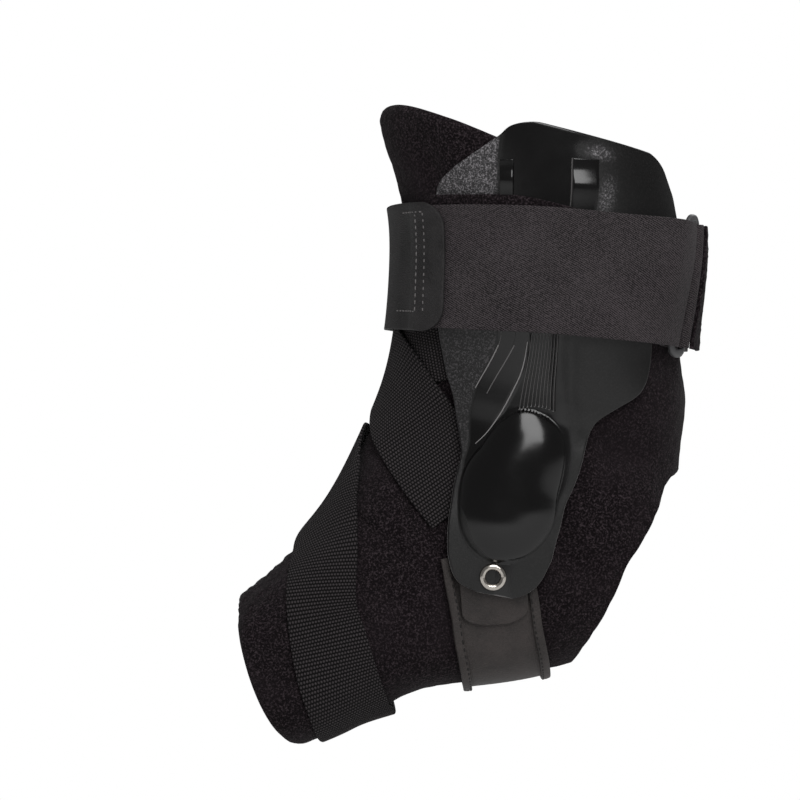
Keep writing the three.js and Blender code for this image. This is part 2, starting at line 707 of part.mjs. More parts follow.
// Grip tab: the stiffened end of the strap, over the front and onto the near side
const grip_rise = (strap_thickness + grip_tab_thickness) / 2 + 1.5 * layer_gap;
const grip_low = strap_over_bands + grip_rise;
const grip_high = outer_run + grip_rise;
add('grip_tab', strap_band([
  ...run(-20, 28, grip_low, 8),
  [33, grip_low + 0.45 * strap_step], [37, grip_low + 1.42 * strap_step],
  [41, grip_low + 2.26 * strap_step], [45, grip_high - 0.06 * strap_step],
  [47.5, grip_high], [50.5, grip_high], [53, grip_high],
], {
  width: strap_width + 2 * grip_tab_overhang,
  thickness: grip_tab_thickness,
  corner: grip_tab_corner,
  across: 3,
}), coated_fabric);

// Strap ring: a long loop whose two bars the strap's halves turn round
const loop_corner_steps = 2;
const loop_side_steps = 5;

// Points round a rectangle with round corners, evenly along its long sides
function loop_outline(width, height, corner) {
  const points = [];
  for (const [sx, sy, start] of [[1, 1, 0], [-1, 1, 90], [-1, -1, 180], [1, -1, 270]]) {
    for (let i = 0; i <= loop_corner_steps; i += 1) {
      const turn = THREE.MathUtils.degToRad(start + (90 * i) / loop_corner_steps);
      points.push([
        sx * (width / 2 - corner) + corner * Math.cos(turn),
        sy * (height / 2 - corner) + corner * Math.sin(turn),
      ]);
    }
    if (sx * sy < 0) {
      const side = sy * (height / 2 - corner);
      for (let i = 1; i < loop_side_steps; i += 1) {
        points.push([(sx * width) / 2, side * (1 - (2 * i) / loop_side_steps)]);
      }
    }
  }
  return points;
}

function strap_ring() {
  const window_height = strap_width + 2 * ring_clearance;
  const outer = loop_outline(ring_spacing + ring_bar, window_height + 2 * ring_bar, ring_bar);
  const inner = loop_outline(ring_spacing - ring_bar, window_height, ring_clearance);
  const bar_section = [
    [2, -0.25], [2, 0.25], [1.75, 0.5], [1.25, 0.5], [1, 0.25], [1, -0.25], [1.25, -0.5], [1.75, -0.5],
    [2, -0.25],
  ].map(([r, h]) => new THREE.Vector2(r, h));
  return moulded(new THREE.LatheGeometry(bar_section, outer.length), (x, y, z) => {
    const share = THREE.MathUtils.euclideanModulo(Math.atan2(x, z) / (2 * Math.PI), 1);
    const i = Math.round(share * outer.length) % outer.length;
    const outward = Math.hypot(x, z) - 1;
    const along = THREE.MathUtils.lerp(inner[i][0], outer[i][0], outward);
    const across = THREE.MathUtils.lerp(inner[i][1], outer[i][1], outward);
    return on_strap(ring_angle + along / degree, across, ring_height + y * ring_bar_thickness);
  });
}
add('strap_ring', strap_ring(), ring_plastic);

export default parts;
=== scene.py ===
import math

import bmesh
import bpy
import numpy as np
from mathutils import Matrix, Vector, noise


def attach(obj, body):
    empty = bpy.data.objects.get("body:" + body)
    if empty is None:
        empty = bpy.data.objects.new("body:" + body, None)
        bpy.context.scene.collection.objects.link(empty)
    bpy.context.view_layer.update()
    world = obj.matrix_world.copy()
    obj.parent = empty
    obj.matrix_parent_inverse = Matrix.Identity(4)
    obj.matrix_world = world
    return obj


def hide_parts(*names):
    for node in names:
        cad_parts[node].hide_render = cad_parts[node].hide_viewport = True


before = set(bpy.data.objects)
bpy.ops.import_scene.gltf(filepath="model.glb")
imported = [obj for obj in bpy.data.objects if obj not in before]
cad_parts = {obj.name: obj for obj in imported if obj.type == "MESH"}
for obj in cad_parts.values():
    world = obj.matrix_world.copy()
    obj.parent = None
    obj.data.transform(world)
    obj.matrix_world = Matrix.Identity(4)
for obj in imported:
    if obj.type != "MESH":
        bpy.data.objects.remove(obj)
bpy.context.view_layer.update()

# Camera: level with the ankle and square to the medial side, at the photograph's distance
scene = bpy.context.scene
camera = bpy.data.objects.new("camera", bpy.data.cameras.new("camera"))
camera.data.sensor_width = 36
camera.data.lens = 125
camera.data.clip_end = 20
camera.location = (-0.0414, -1.0, 0.0252)
camera.rotation_euler = (math.radians(90), 0, 0)
scene.collection.objects.link(camera)
scene.camera = camera
scene.view_settings.view_transform = "Standard"

# Sleeve: a padded tube of foam faced with brushed loop cloth, bent at the ankle, open at the toes,
# the heel and the top. Its form is a table of cross-sections from the toe opening to the top, and
# everything that is worn over it is laid on the same form by an angle, a station and a height.
mm = 0.001
brace_size = np.array([0.169, 0.086, 0.232])
sleeve_wall = 0.0032
fold_depth = 0.0024
# front x, front z, back x, back z, half width, squareness, egg shape, as shares of the brace
sections = np.array([
    [-0.601, -0.203, -0.475, -0.427, 0.471, 0.2, -0.16],
    [-0.522, -0.161, -0.351, -0.397, 0.459, 0.2, -0.16],
    [-0.458, -0.115, -0.241, -0.341, 0.442, 0.2, -0.16],
    [-0.396, -0.062, -0.128, -0.326, 0.424, 0.18, -0.14],
    [-0.351, -0.005, -0.006, -0.32, 0.413, 0.16, -0.12],
    [-0.317, 0.048, 0.138, -0.295, 0.407, 0.12, -0.1],
    [-0.29, 0.092, 0.298, -0.245, 0.401, 0.1, -0.08],
    [-0.268, 0.133, 0.373, -0.133, 0.401, 0.08, -0.06],
    [-0.253, 0.175, 0.33, -0.019, 0.413, 0.08, -0.04],
    [-0.243, 0.217, 0.369, 0.09, 0.43, 0.08, -0.03],
    [-0.236, 0.27, 0.347, 0.171, 0.453, 0.08, -0.02],
    [-0.232, 0.326, 0.351, 0.248, 0.471, 0.08, -0.02],
    [-0.232, 0.382, 0.354, 0.32, 0.483, 0.08, -0.02],
    [-0.245, 0.439, 0.343, 0.385, 0.488, 0.08, -0.02],
    [-0.275, 0.503, 0.326, 0.444, 0.494, 0.08, -0.02],
    [-0.296, 0.568, 0.317, 0.503, 0.5, 0.08, -0.02],
])
# angle, station, reach in degrees, reach in stations, depth as a share of the fold depth
folds = [
    (41, 0.9, 9, 0.05, -1.0), (20, 0.94, 14, 0.05, 0.6), (140, 0.6, 26, 0.04, 0.8),
    (124, 0.542, 22, 0.018, -0.6), (130, 0.49, 20, 0.026, 0.6), (112, 0.402, 16, 0.018, -0.5),
    (86, 0.258, 20, 0.014, -0.4), (60, 0.28, 16, 0.026, 0.4),
]


def section(station):
    """The section table's columns at each station, on a smooth spline"""
    last = len(sections) - 1
    padded = np.vstack([2 * sections[0] - sections[1], sections, 2 * sections[-1] - sections[-2]])
    place = station * last
    first = np.clip(np.floor(place), 0, last - 1).astype(int)
    f = (place - first)[..., None]
    weights = ((1 - f) ** 3, 3 * f ** 3 - 6 * f ** 2 + 4, -3 * f ** 3 + 3 * f ** 2 + 3 * f + 1, f ** 3)
    return sum(weight * padded[first + i] for i, weight in enumerate(weights)) / 6


def form_point(angle, station):
    """Places on the form: 0 degrees is the front, 90 the near side and 180 the sole or back"""
    front_x, front_z, back_x, back_z, half, square, egg = np.moveaxis(section(station), -1, 0)
    c, s = np.cos(np.radians(angle)), np.sin(np.radians(angle))
    along = c * (1 + square * s * s)
    across = s * (1 + square * c * c) * (1 + egg * c)
    x = (front_x + back_x) / 2 + (front_x - back_x) / 2 * along
    z = (front_z + back_z) / 2 + (front_z - back_z) / 2 * along
    return np.stack([x, -half * across, z], -1) * brace_size


def unit(vectors):
    return vectors / np.linalg.norm(vectors, axis=-1, keepdims=True)


def form_frame(angle, station):
    """The form's tangent per degree, its tangent per station, and its outward normal"""
    step = 0.001
    by_angle = (form_point(angle + 1, station) - form_point(angle - 1, station)) / 2
    by_station = (form_point(angle, station + step) - form_point(angle, station - step)) / (2 * step)
    return by_angle, by_station, unit(np.cross(by_angle, by_station))


def turn_from_front(angle):
    return np.abs(np.mod(angle + 180, 360) - 180)


def bell(value, middle, reach):
    return np.exp(-((value - middle) / reach) ** 2)


def fold_height(angle, station):
    turn = turn_from_front(angle)
    return fold_depth * sum(depth * bell(turn, at, reach) * bell(station, level, rise)
                            for at, level, reach, rise, depth in folds)


def on_form(angle, station, height):
    lift = np.asarray(height + fold_height(angle, station))[..., None]
    return form_point(angle, station) + lift * form_frame(angle, station)[2]


def between(rows, share):
    """A table's columns at each share of its length, on a smooth curve through its rows"""
    rows = np.asarray(rows, float)
    last = len(rows) - 1
    place = np.clip(share, 0, 1) * last
    first = np.minimum(np.floor(place), last - 1).astype(int)
    f = (place - first)[..., None]
    before, start, end, after = (rows[np.clip(first + i, 0, last)] for i in (-1, 0, 1, 2))
    slope, next_slope = (end - before) / 2, (after - start) / 2
    rise = end - start
    return start + f * (slope + f * (3 * rise - 2 * slope - next_slope
                                     + f * (slope + next_slope - 2 * rise)))


def smoothstep(value, low, high):
    """Rises from 0 at low to 1 at high, and falls where low is the greater"""
    t = np.clip((value - low) / (high - low), 0, 1)
    return t * t * (3 - 2 * t)


def lerp(a, b, t):
    return a + (b - a) * t


toe_middle, toe_side = 0.012, -0.006
# The top edge's station from the front round to the back in even steps of the angle
top_edge = [[0.978], [0.991], [0.975], [0.94], [0.918], [0.905], [0.9]]
# station, half opening in degrees from the back
heel_opening = np.array([
    [0.316, 0], [0.321, 9], [0.33, 20], [0.341, 29], [0.359, 38], [0.391, 49], [0.408, 53],
    [0.424, 56.3], [0.432, 56.6], [0.44, 55.6], [0.448, 53.6], [0.466, 50],
    [0.488, 44.5], [0.508, 37], [0.524, 31], [0.536, 23], [0.545, 10], [0.549, 0],
])
# Creases pressed into the padding: angle and station at both ends, half width in mm, depth in mm
creases = [
    (38, 0.232, 68, 0.252, 1.1, 1.5),
    (73, 0.268, 80, 0.24, 1.1, 1.4),
    (106, 0.523, 136, 0.553, 3.0, 1.4),
    (107, 0.389, 123, 0.436, 2.2, 1.0),
    (118, 0.6, 150, 0.64, 2.6, 0.9),
]


def crease_height(angle, station):
    """Grooves along short lines, the same on both sides of the sleeve"""
    turn = turn_from_front(angle)
    depth = 0 * turn
    per_degree, per_station = 0.62, 250.0  # mm on the ankle
    for a0, s0, a1, s1, half, deep in creases:
        run = np.array([(a1 - a0) * per_degree, (s1 - s0) * per_station])
        away = np.stack([(turn - a0) * per_degree, (station - s0) * per_station], -1)
        t = np.clip(away @ run / (run @ run), 0, 1)
        off = np.linalg.norm(away - t[..., None] * run, axis=-1)
        fade = np.sin(np.pi * np.clip(t, 0.08, 0.92)) ** 0.5
        depth = depth - deep * mm * fade * bell(off, 0, half)
    return depth


def lumps(points, size, depth):
    """Uneven padding: small smooth swellings of about the given size"""
    return depth * np.array([noise.noise(Vector(point) / size) for point in points])


def walked(points):
    """How far along a line each of its points is"""
    return np.concatenate([[0], np.cumsum(np.linalg.norm(np.diff(points, axis=0), axis=1))])


def new_object(name, bm):
    mesh = bpy.data.meshes.new(name)
    bm.to_mesh(mesh)
    bm.free()
    mesh.shade_smooth()
    piece = bpy.data.objects.new(name, mesh)
    scene.collection.objects.link(piece)
    return piece


def spread(share, lines, length, rim, rim_lines=3):
    """Where grid lines lie over a length, some of them close to its ends for a rounded rim, and how
    far the rim has fallen there, from 0 to 1"""
    line = share * lines
    turn = np.clip(np.minimum(line, lines - line) / rim_lines, 0, 1) * math.pi / 2
    inside = rim + (length - 2 * rim) * (line - rim_lines) / (lines - 2 * rim_lines)
    curl = rim * (1 - np.cos(turn))
    place = np.where(line < rim_lines, curl, np.where(line > lines - rim_lines, length - curl, inside))
    return place, 1 - np.sin(turn)


def inset(distance, along, aside):
    """How far in from its side a rounded end lies, at a distance from the end"""
    short = np.clip(1 - distance / along, 0, 1)
    return aside * (1 - np.sqrt(1 - short * short))


def thick_sheet(columns, rows, place, on_face=on_form):
    """A sheet of cloth or plate with both its faces. place takes the column and row shares of the
    grid's corners. It gives two coordinates of each, the heights of both faces there, the two
    lengths in mm that a weave is drawn by, and a third value for the material or none."""
    bm = bmesh.new()
    bmesh.ops.create_grid(bm, x_segments=columns, y_segments=rows, size=0.5)
    made = bmesh.ops.extrude_face_region(bm, geom=bm.faces[:])
    outer = {v for v in made["geom"] if isinstance(v, bmesh.types.BMVert)}
    shares = np.array([v.co[:2] for v in bm.verts]) + 0.5
    first, second, low, high, along, aside, *zone = place(shares[:, 0], shares[:, 1])
    zone = zone[0] if zone else 0 * along
    outside = np.array([v in outer for v in bm.verts])
    points = on_face(first, second, np.where(outside, high, low))
    layer = bm.verts.layers.float_vector.new("laid")
    for vert, point, *lengths in zip(bm.verts, points, along, aside, zone):
        vert.co = point
        vert[layer] = lengths
    bmesh.ops.recalc_face_normals(bm, faces=bm.faces)
    return bm


sleeve_columns, sleeve_rows, rim_rows = 190, 236, 3
rim_drop = 1.2 * mm
settling_rounds = 4


def sleeve_station(angle, share):
    """The station at a share of the way from the toe edge to the top edge"""
    low = lerp(toe_middle, toe_side, np.sin(np.radians(angle)) ** 2)
    return lerp(low, between(top_edge, turn_from_front(angle) / 180)[:, 0], share)


def sleeve_places(u, v):
    turn = 360 * (u - 0.5)
    half = 0 * turn
    # The heel opening's width and the top edge's station depend on each other, and settle in rounds
    for _ in range(settling_rounds):
        half = np.interp(sleeve_station(180 - half, v), *heel_opening.T)
    angle = turn * (1 - half / 180 * np.abs(2 * u - 1) ** 4)
    station = sleeve_station(angle, v)
    spots = form_point(angle, station)
    padding = lumps(spots, 0.016, 0.7 * mm) + lumps(spots, 0.004, 0.22 * mm)
    height = crease_height(angle, station) + padding
    instep = smoothstep(turn_from_front(angle), 60, 25) * smoothstep(station, 0.3, 0.24)
    height = height + instep * lumps(spots, 0.0035, 0.9 * mm)
    fall = (1 - np.clip(np.minimum(v, 1 - v) * sleeve_rows / rim_rows, 0, 1)) ** 2
    return angle, station, fall * mm - sleeve_wall, height - fall * rim_drop, angle, station


sleeve_mesh = thick_sheet(sleeve_columns, sleeve_rows, sleeve_places)
bmesh.ops.remove_doubles(sleeve_mesh, verts=sleeve_mesh.verts, dist=0.02 * mm)
sleeve = new_object("padded_sleeve", sleeve_mesh)


class Maths:
    """A shader socket that takes Python's operators"""

    def __init__(self, finish, socket):
        self.finish, self.socket = finish, socket

    def maths(operation, swapped=False):
        """The operator that one Math node stands for"""
        def operator(self, *other):
            values = (*other, self) if swapped else (self, *other)
            return self.finish.node("Math", {"operation": operation}, *values)

        return operator

    __add__, __radd__ = maths("ADD"), maths("ADD", swapped=True)
    __sub__, __rsub__ = maths("SUBTRACT"), maths("SUBTRACT", swapped=True)
    __mul__, __rmul__ = maths("MULTIPLY"), maths("MULTIPLY", swapped=True)
    __truediv__, __pow__, __abs__ = maths("DIVIDE"), maths("POWER"), maths("ABSOLUTE")
    sine, floor = maths("SINE"), maths("FLOOR")


class Finish:
    """A material under construction: node adds any node, from its type, settings and inputs"""

    def __init__(self, name, **constants):
        self.material = bpy.data.materials.new(name)
        self.material.use_nodes = True
        self.tree = self.material.node_tree
        self.shader = self.tree.nodes["Principled BSDF"]
        self.place = self.node("TexCoord", {}, output=3)
        for socket, value in constants.items():
            self.feed(socket.replace("_", " ").title().replace("Ior", "IOR"), value)

    def put(self, socket, value):
        if isinstance(value, Maths):
            self.tree.links.new(value.socket, socket)
        else:
            socket.default_value = value

    def feed(self, name, value):
        self.put(self.shader.inputs[name], value)

    def node(self, kind, settings, *values, output=0, **named):
        made = self.tree.nodes.new("ShaderNode" + kind)
        for setting, value in settings.items():
            setattr(made, setting, value)
        for key, value in [*enumerate(values), *named.items()]:
            self.put(made.inputs[key], value)
        return Maths(self, made.outputs[output])

    def smooth(self, value, low, high):
        return self.node("MapRange", {"interpolation_type": "SMOOTHSTEP"}, value, low, high)

    def noise(self, scale, detail=2.0, roughness=0.5):
        return self.node("TexNoise", {}, Vector=self.place, Scale=scale, Detail=detail,
                         Roughness=roughness)

    def laid(self):
        """The two pattern lengths of a laid sheet in mm, and its third value"""
        attribute = self.node("Attribute", {"attribute_name": "laid"}, output=1)
        return [self.node("SeparateXYZ", {}, attribute, output=axis) for axis in range(3)]

    def mix(self, share, low, high):
        made = self.tree.nodes.new("ShaderNodeMix")
        made.data_type = "RGBA"
        for key, value in ((0, share), (6, low), (7, high)):
            self.put(made.inputs[key], (*value, 1) if isinstance(value, tuple) else value)
        return Maths(self, made.outputs[2])

    def colour(self, share, low, high):
        self.feed("Base Color", self.mix(share, low, high))

    def bump(self, height, distance):
        self.feed("Normal", self.node("Bump", {}, Height=height, Distance=distance))


def loop_pile():
    """Brushed loop cloth: matt black with pale specks where single loops catch the light, painted into
    the colour as highlights
    """
    finish = Finish("loop_pile", roughness=0.9, sheen_weight=0.03, specular_ior_level=0.05)
    loops = finish.noise(1400, 3, 0.7)
    tufts = finish.noise(330, 3, 0.65)
    worn = finish.smooth(finish.noise(38, 3), 0.35, 0.75)
    # The pale specks are painted highlights of single loops catching the light
    pile = finish.mix(finish.smooth(loops, 0.46, 0.7), (0.0045, 0.0032, 0.0038), (0.045, 0.0345, 0.039))
    finish.colour(worn * 0.5, pile, (0.0155, 0.0115, 0.0135))
    finish.bump(loops * 0.6 + tufts * 1.2, 0.8 * mm)
    return finish.material


def dress(piece, material, slot, *nodes):
    """Gives a piece its material, puts it on the body and hides the solids; slot is not used"""
    piece.data.materials.append(material)
    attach(piece, "root")
    if nodes:
        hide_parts(*nodes)
    return piece


pile = loop_pile()
dress(sleeve, pile, "padded_cloth", "sleeve")

# Ankle bands: two wide woven elastics, one sewn to each side of the foot. Each goes up over the
# front of the ankle to the other side of the leg, so that they cross there.
elastic_thickness = 0.001
layer_gap = 0.00035
first_layer = layer_gap
second_layer = first_layer + elastic_thickness + layer_gap


def walk(angle, station, direction, distance):
    """Steps of so many metres over the form, along directions in space"""
    by_angle, by_station, _ = form_frame(angle, station)
    aa, ss = (by_angle ** 2).sum(-1), (by_station ** 2).sum(-1)
    both = (by_angle * by_station).sum(-1)
    a = (by_angle * direction).sum(-1) * distance
    s = (by_station * direction).sum(-1) * distance
    det = aa * ss - both * both
    return angle + (a * ss - s * both) / det, station + (s * aa - a * both) / det


class Course:
    """A line over the form, through rows of angle, station, height in mm, and the reach to its
    two sides as shares of a width. Its places are found by their distance along it."""

    def __init__(self, rows):
        self.rows = np.array(rows, float)
        self.shares = np.linspace(0, 1, 600)
        self.reached = walked(self.points(self.shares))
        self.length = self.reached[-1]

    def points(self, share):
        angle, station, height = between(self.rows[:, :3], share).T
        return on_form(angle, station, height * mm)

    def at(self, distance):
        share = np.interp(distance, self.reached, self.shares)
        near = 0.004
        ahead, behind = np.minimum(share + near, 1), np.maximum(share - near, 0)
        return between(self.rows, share).T, unit(self.points(ahead) - self.points(behind))

    def beside(self, distance, aside):
        """Angle, station and height at places so far along the course and so far beside it"""
        (angle, station, height, *_), tangent = self.at(distance)
        steps = 12
        for _ in range(steps):
            normal = form_frame(angle, station)[2]
            angle, station = walk(angle, station, unit(np.cross(normal, tangent)), aside / steps)
        return angle, station, height * mm


def panel(course, width, thickness, columns, rows, round_end=None, relief=None, rim=0.3 * mm):
    """A strip of even thickness along a course. round_end rounds its end: how far along, and how
    far in from each side. relief adds to its height."""

    def place(u, v):
        distance, end_fall = spread(v, rows, course.length, rim)
        front, rear = course.at(distance)[0][3:]
        narrowed = inset(course.length - distance, *round_end) if round_end else 0
        across, side_fall = spread(u, columns, (front + rear) * width - 2 * narrowed, rim)
        aside = across - front * width + narrowed
        angle, station, height = course.beside(distance, aside)
        extra = relief(distance, aside, angle, station) if relief else 0
        fall = np.maximum(end_fall, side_fall) * min(rim, 0.6 * thickness)
        return angle, station, height, height + thickness + extra - fall, distance / mm, aside / mm

    return thick_sheet(columns, rows, place)


def even(rows):
    return [(*row, 0.5, 0.5) for row in rows]


def mirrored(piece, name):
    """The same piece on the far side"""
    copy = bpy.data.objects.new(name, piece.data.copy())
    copy.data.transform(Matrix.Scale(-1, 4, (0, 1, 0)))
    copy.data.flip_normals()
    scene.collection.objects.link(copy)
    return copy


ankle_width = 0.032
rib_pitch = 0.00125
rib_depth = 0.22 * mm
# angle, station, and 1 where a band can lie over the other
ankle_rows = [
    (75.5, 0.379, 0), (65, 0.389, 0), (55, 0.402, 0), (47, 0.414, 0), (39, 0.43, 1), (30, 0.45, 1),
    (19, 0.478, 1), (2, 0.513, 1), (-14, 0.546, 1), (-28, 0.575, 1), (-40, 0.598, 1), (-48, 0.612, 0),
    (-57, 0.624, 0),
]


def elastic_relief(width):
    """Ribs across the elastic, and a plain selvedge along both its edges"""

    def relief(distance, aside, *_):
        edge = smoothstep(width / 2 - np.abs(aside), 0.4 * mm, 1.6 * mm)
        rib = np.sqrt(np.abs(np.sin(np.pi * distance / rib_pitch)))
        return edge * (rib - 1) * rib_depth

    return relief


def woven_elastic():
    """Woven elastic: ribs across its length, each a row of small knots offset from the last row's,
    between two plain selvedges"""
    knot_pitch = 1.05
    finish = Finish("woven_elastic", roughness=0.8, sheen_weight=0.02, specular_ior_level=0.1)
    along, aside, _ = finish.laid()
    row = along / (rib_pitch / mm)
    rib = abs((row * math.pi).sine())
    knot = abs(((aside / knot_pitch + row.floor() * 0.5) * math.pi).sine())
    fibre = finish.noise(2600)
    height = (rib ** 0.8) * (knot ** 0.9 * 0.75 + 0.25)
    tone = finish.smooth(height * (0.55 + fibre * 0.9), 0.3, 0.98)
    thread = finish.mix(tone, (0.002, 0.0017, 0.0019), (0.05, 0.044, 0.046))
    finish.colour(finish.noise(60) * 0.25, thread, (0.009, 0.0078, 0.0082))
    finish.bump(height + fibre * 0.2, 0.45 * mm)
    return finish.material


elastic = woven_elastic()
for name, crossing, node in (("ankle_elastic", second_layer, "ankle_band"),
                             ("cross_elastic", first_layer, "cross_band")):
    course = Course(even([
        (angle, station, (crossing if over else first_layer) / mm) for angle, station, over in ankle_rows
    ]))
    strip = panel(course, ankle_width, elastic_thickness, 30, int(course.length / rib_pitch * 4),
                  relief=elastic_relief(ankle_width))
    piece = new_object(name, strip)
    if node == "cross_band":
        near = piece
        piece = mirrored(near, "cross_elastic_far")
        bpy.data.objects.remove(near)
    dress(piece, elastic, "elastic", node)

# Instep band: one long elastic from the far side of the instep, round the near side and the sole
# and up again, ending under its own start. Under the arch it runs straight, clear of the hollow.
instep_width = 0.027
instep_under = first_layer + 0.00045
instep_over = instep_under + elastic_thickness + layer_gap
arch_gap = 0.0034
# angle, station, and the reach to both sides as a share of its width
instep_start = [
    (-26, 0.322, 0.61), (-14, 0.3, 0.61), (-4, 0.274, 0.61), (8, 0.24, 0.61), (23, 0.198, 0.58),
]
instep_near = [
    (36, 0.175, 0.53), (48, 0.158, 0.49), (72, 0.119, 0.45), (91, 0.101, 0.49), (111, 0.088, 0.51),
    (140, 0.079, 0.51), (160, 0.077, 0.5), (180, 0.077, 0.5),
]
instep_far = [(360 - angle, *row) for angle, *row in instep_near[-2::-1]]
instep_end = [(337, 0.198, 0.56), (352, 0.24, 0.58), (365, 0.278, 0.58)]
instep_rows = [(*row, instep_over) for row in instep_start]
instep_rows += [(*row, instep_under) for row in instep_near + instep_far + instep_end]


def instep_taper(angle):
    """How much narrower the rear side is, toward the band's two ends"""
    start = 0.25 * smoothstep(angle, -14, -28) + 0.08 * smoothstep(angle, 16, -14)
    return start + 0.16 * smoothstep(angle, 335, 365)


def instep_relief(distance, aside, angle, station):
    sole = smoothstep(turn_from_front(angle), 128, 165)
    arch = arch_gap * sole * smoothstep(station, 0.07, 0.135)
    return arch + elastic_relief(1.08 * instep_width)(distance, aside)


instep_course = Course([
    (angle, station, height / mm, reach, reach - instep_taper(angle))
    for angle, station, reach, height in instep_rows
])
instep = panel(instep_course, instep_width, elastic_thickness, 26,
               int(instep_course.length / rib_pitch * 3), relief=instep_relief)
dress(new_object("instep_elastic", instep), elastic, "elastic", "instep_band")

# Stirrup: a flat coated strap under the sole, bound along both edges with folded tape that is
# sewn on. Each end lies behind a shell and carries a tongue that the shell is riveted to.
stirrup_width = 0.031
stirrup_thickness = 0.0015
binding_width = 0.0032
binding_thickness = 0.0009
tongue_thickness = 0.0012
tongue_end = 0.005
padded_gap = layer_gap + 0.00015
tongue_floor = padded_gap + stirrup_thickness + layer_gap
rivet_tail_height = 0.0008
tongue_riveted = tongue_floor + rivet_tail_height + layer_gap
stirrup_half = [
    (90.5, 0.344), (99, 0.324), (108, 0.307), (121, 0.286), (138, 0.27), (158, 0.26), (180, 0.257),
]
stirrup_path = stirrup_half + [(360 - angle, station) for angle, station in stirrup_half[-2::-1]]


def stirrup_course(height, front, rear):
    return Course([(angle, station, height / mm, front, rear) for angle, station in stirrup_path])


def coated_cloth(name, dark, light):
    """Coated cloth with a fine leather grain and a satin face, dulled where it is handled"""
    finish = Finish(name, specular_ior_level=0.3)
    grain = finish.node("TexVoronoi", {"feature": "DISTANCE_TO_EDGE"}, Vector=finish.place, Scale=1300.0)
    worn = finish.noise(60, 4, 0.6)
    fine = finish.noise(1500, 2, 0.6)
    finish.colour(finish.smooth(worn * 0.7 + fine * 0.3, 0.3, 0.7), dark, light)
    finish.feed("Roughness", 0.45 + worn * 0.25)
    finish.bump(finish.smooth(grain, 0.0, 0.25) + finish.noise(300) * 0.8, 0.09 * mm)
    return finish.material


coated = coated_cloth("coated_cloth", (0.019, 0.016, 0.0152), (0.047, 0.0394, 0.0372))
stirrup = panel(stirrup_course(padded_gap, 0.5, 0.5), stirrup_width, stirrup_thickness, 16, 150)
dress(new_object("sole_stirrup", stirrup), coated, "coated_fabric", "stirrup_strap")

binding_share = binding_width / stirrup_width
binding_swell = 0.35 * mm


def rolled(distance, aside, *_):
    """Folded tape swells a little along its middle"""
    from_edge = (stirrup_width / 2 - np.abs(aside)) / binding_width
    return binding_swell * np.sin(np.pi * np.clip(from_edge, 0, 1)) ** 0.7


for side, reach in (("front", (0.5, binding_share - 0.5)), ("rear", (binding_share - 0.5, 0.5))):
    tape = panel(stirrup_course(tongue_floor, *reach), stirrup_width, binding_thickness, 8, 170,
                 relief=rolled)
    dress(new_object(f"stirrup_tape_{side}", tape), coated, "coated_fabric", f"stirrup_binding_{side}")

rivet_angle, rivet_station = 99, 0.328
# angle, station, and the share of the rise to the rivet
tongue_rows = [
    (92, 0.342, 1), (rivet_angle, rivet_station, 1), (104.5, 0.315, 0.6), (109.5, 0.304, 0.1),
    (115.5, 0.293, 0),
]
tongue_width = stirrup_width - 2 * (binding_width + 2 * layer_gap)
tongue_course = Course(even([
    (angle, station, lerp(tongue_floor, tongue_riveted, rise) / mm)
    for angle, station, rise in tongue_rows
]))


def dress_pair(name, mesh, material, slot, node=None):
    """A piece on the near side and its mirrored one on the far side"""
    near = new_object(f"{name}_medial", mesh)
    far = mirrored(near, f"{name}_lateral")
    for piece, side in ((near, "medial"), (far, "lateral")):
        dress(piece, material, slot, *([f"{node}_{side}"] if node else []))
    return near, far


tongue = panel(tongue_course, tongue_width, tongue_thickness, 24, 40,
               round_end=(tongue_end, 0.42 * tongue_width))
dress_pair("tongue", tongue, coated, "coated_fabric", "stirrup_tongue")

# Shells: one moulded plastic plate on each side, over a thin liner. Each is broad on the leg, with
# two long bars, and narrows to a domed cup over the ankle bone with a rivet below it.
shell_wall = 0.002
shell_width = 0.09
shell_start, shell_corner = 2.0 * mm, 7.0 * mm
liner_thickness = 0.0012
shell_floor = padded_gap + liner_thickness + padded_gap
shell_riveted = tongue_riveted + tongue_thickness + layer_gap
spine = [
    (106.5, 0.99), (99, 0.907), (91.5, 0.821), (87.8, 0.741), (85.1, 0.671), (82.4, 0.6),
    (81.4, 0.542), (80.8, 0.483), (82.2, 0.43), (87.2, 0.39), (94.7, 0.355), (105.6, 0.318),
]
# distance down the spine as a share, reach to the front and rear as shares, rise to the rivet
shell_outline = np.array([
    [0, 0.15, 0.36, 0], [0.026, 0.225, 0.395, 0], [0.053, 0.262, 0.43, 0], [0.079, 0.34, 0.462, 0],
    [0.1, 0.39, 0.49, 0], [0.15, 0.46, 0.535, 0],
    [0.205, 0.455, 0.5, 0], [0.26, 0.44, 0.46, 0], [0.32, 0.415, 0.455, 0], [0.37, 0.385, 0.46, 0],
    [0.415, 0.36, 0.465, 0], [0.46, 0.333, 0.445, 0], [0.505, 0.295, 0.375, 0],
    [0.55, 0.245, 0.315, 0.1], [0.6, 0.215, 0.28, 0.2], [0.68, 0.195, 0.25, 0.5],
    [0.765, 0.205, 0.223, 0.8], [0.84, 0.212, 0.206, 1], [0.915, 0.208, 0.186, 1],
    [0.955, 0.185, 0.15, 1], [0.98, 0.15, 0.105, 1], [1, 0.085, 0.05, 1],
])


def shell_rows(narrower=0.0):
    shares = np.linspace(0, 1, 61)
    last = len(shell_outline) - 1
    places = np.interp(shares, shell_outline[:, 0], np.arange(last + 1)) / last
    _, front, rear, rise = between(shell_outline, places).T
    height = lerp(shell_floor, shell_riveted, rise) / mm
    less = narrower / shell_width
    return np.stack([*between(spine, shares).T, height, front - less, rear - less], -1)


shell_course = Course(shell_rows())
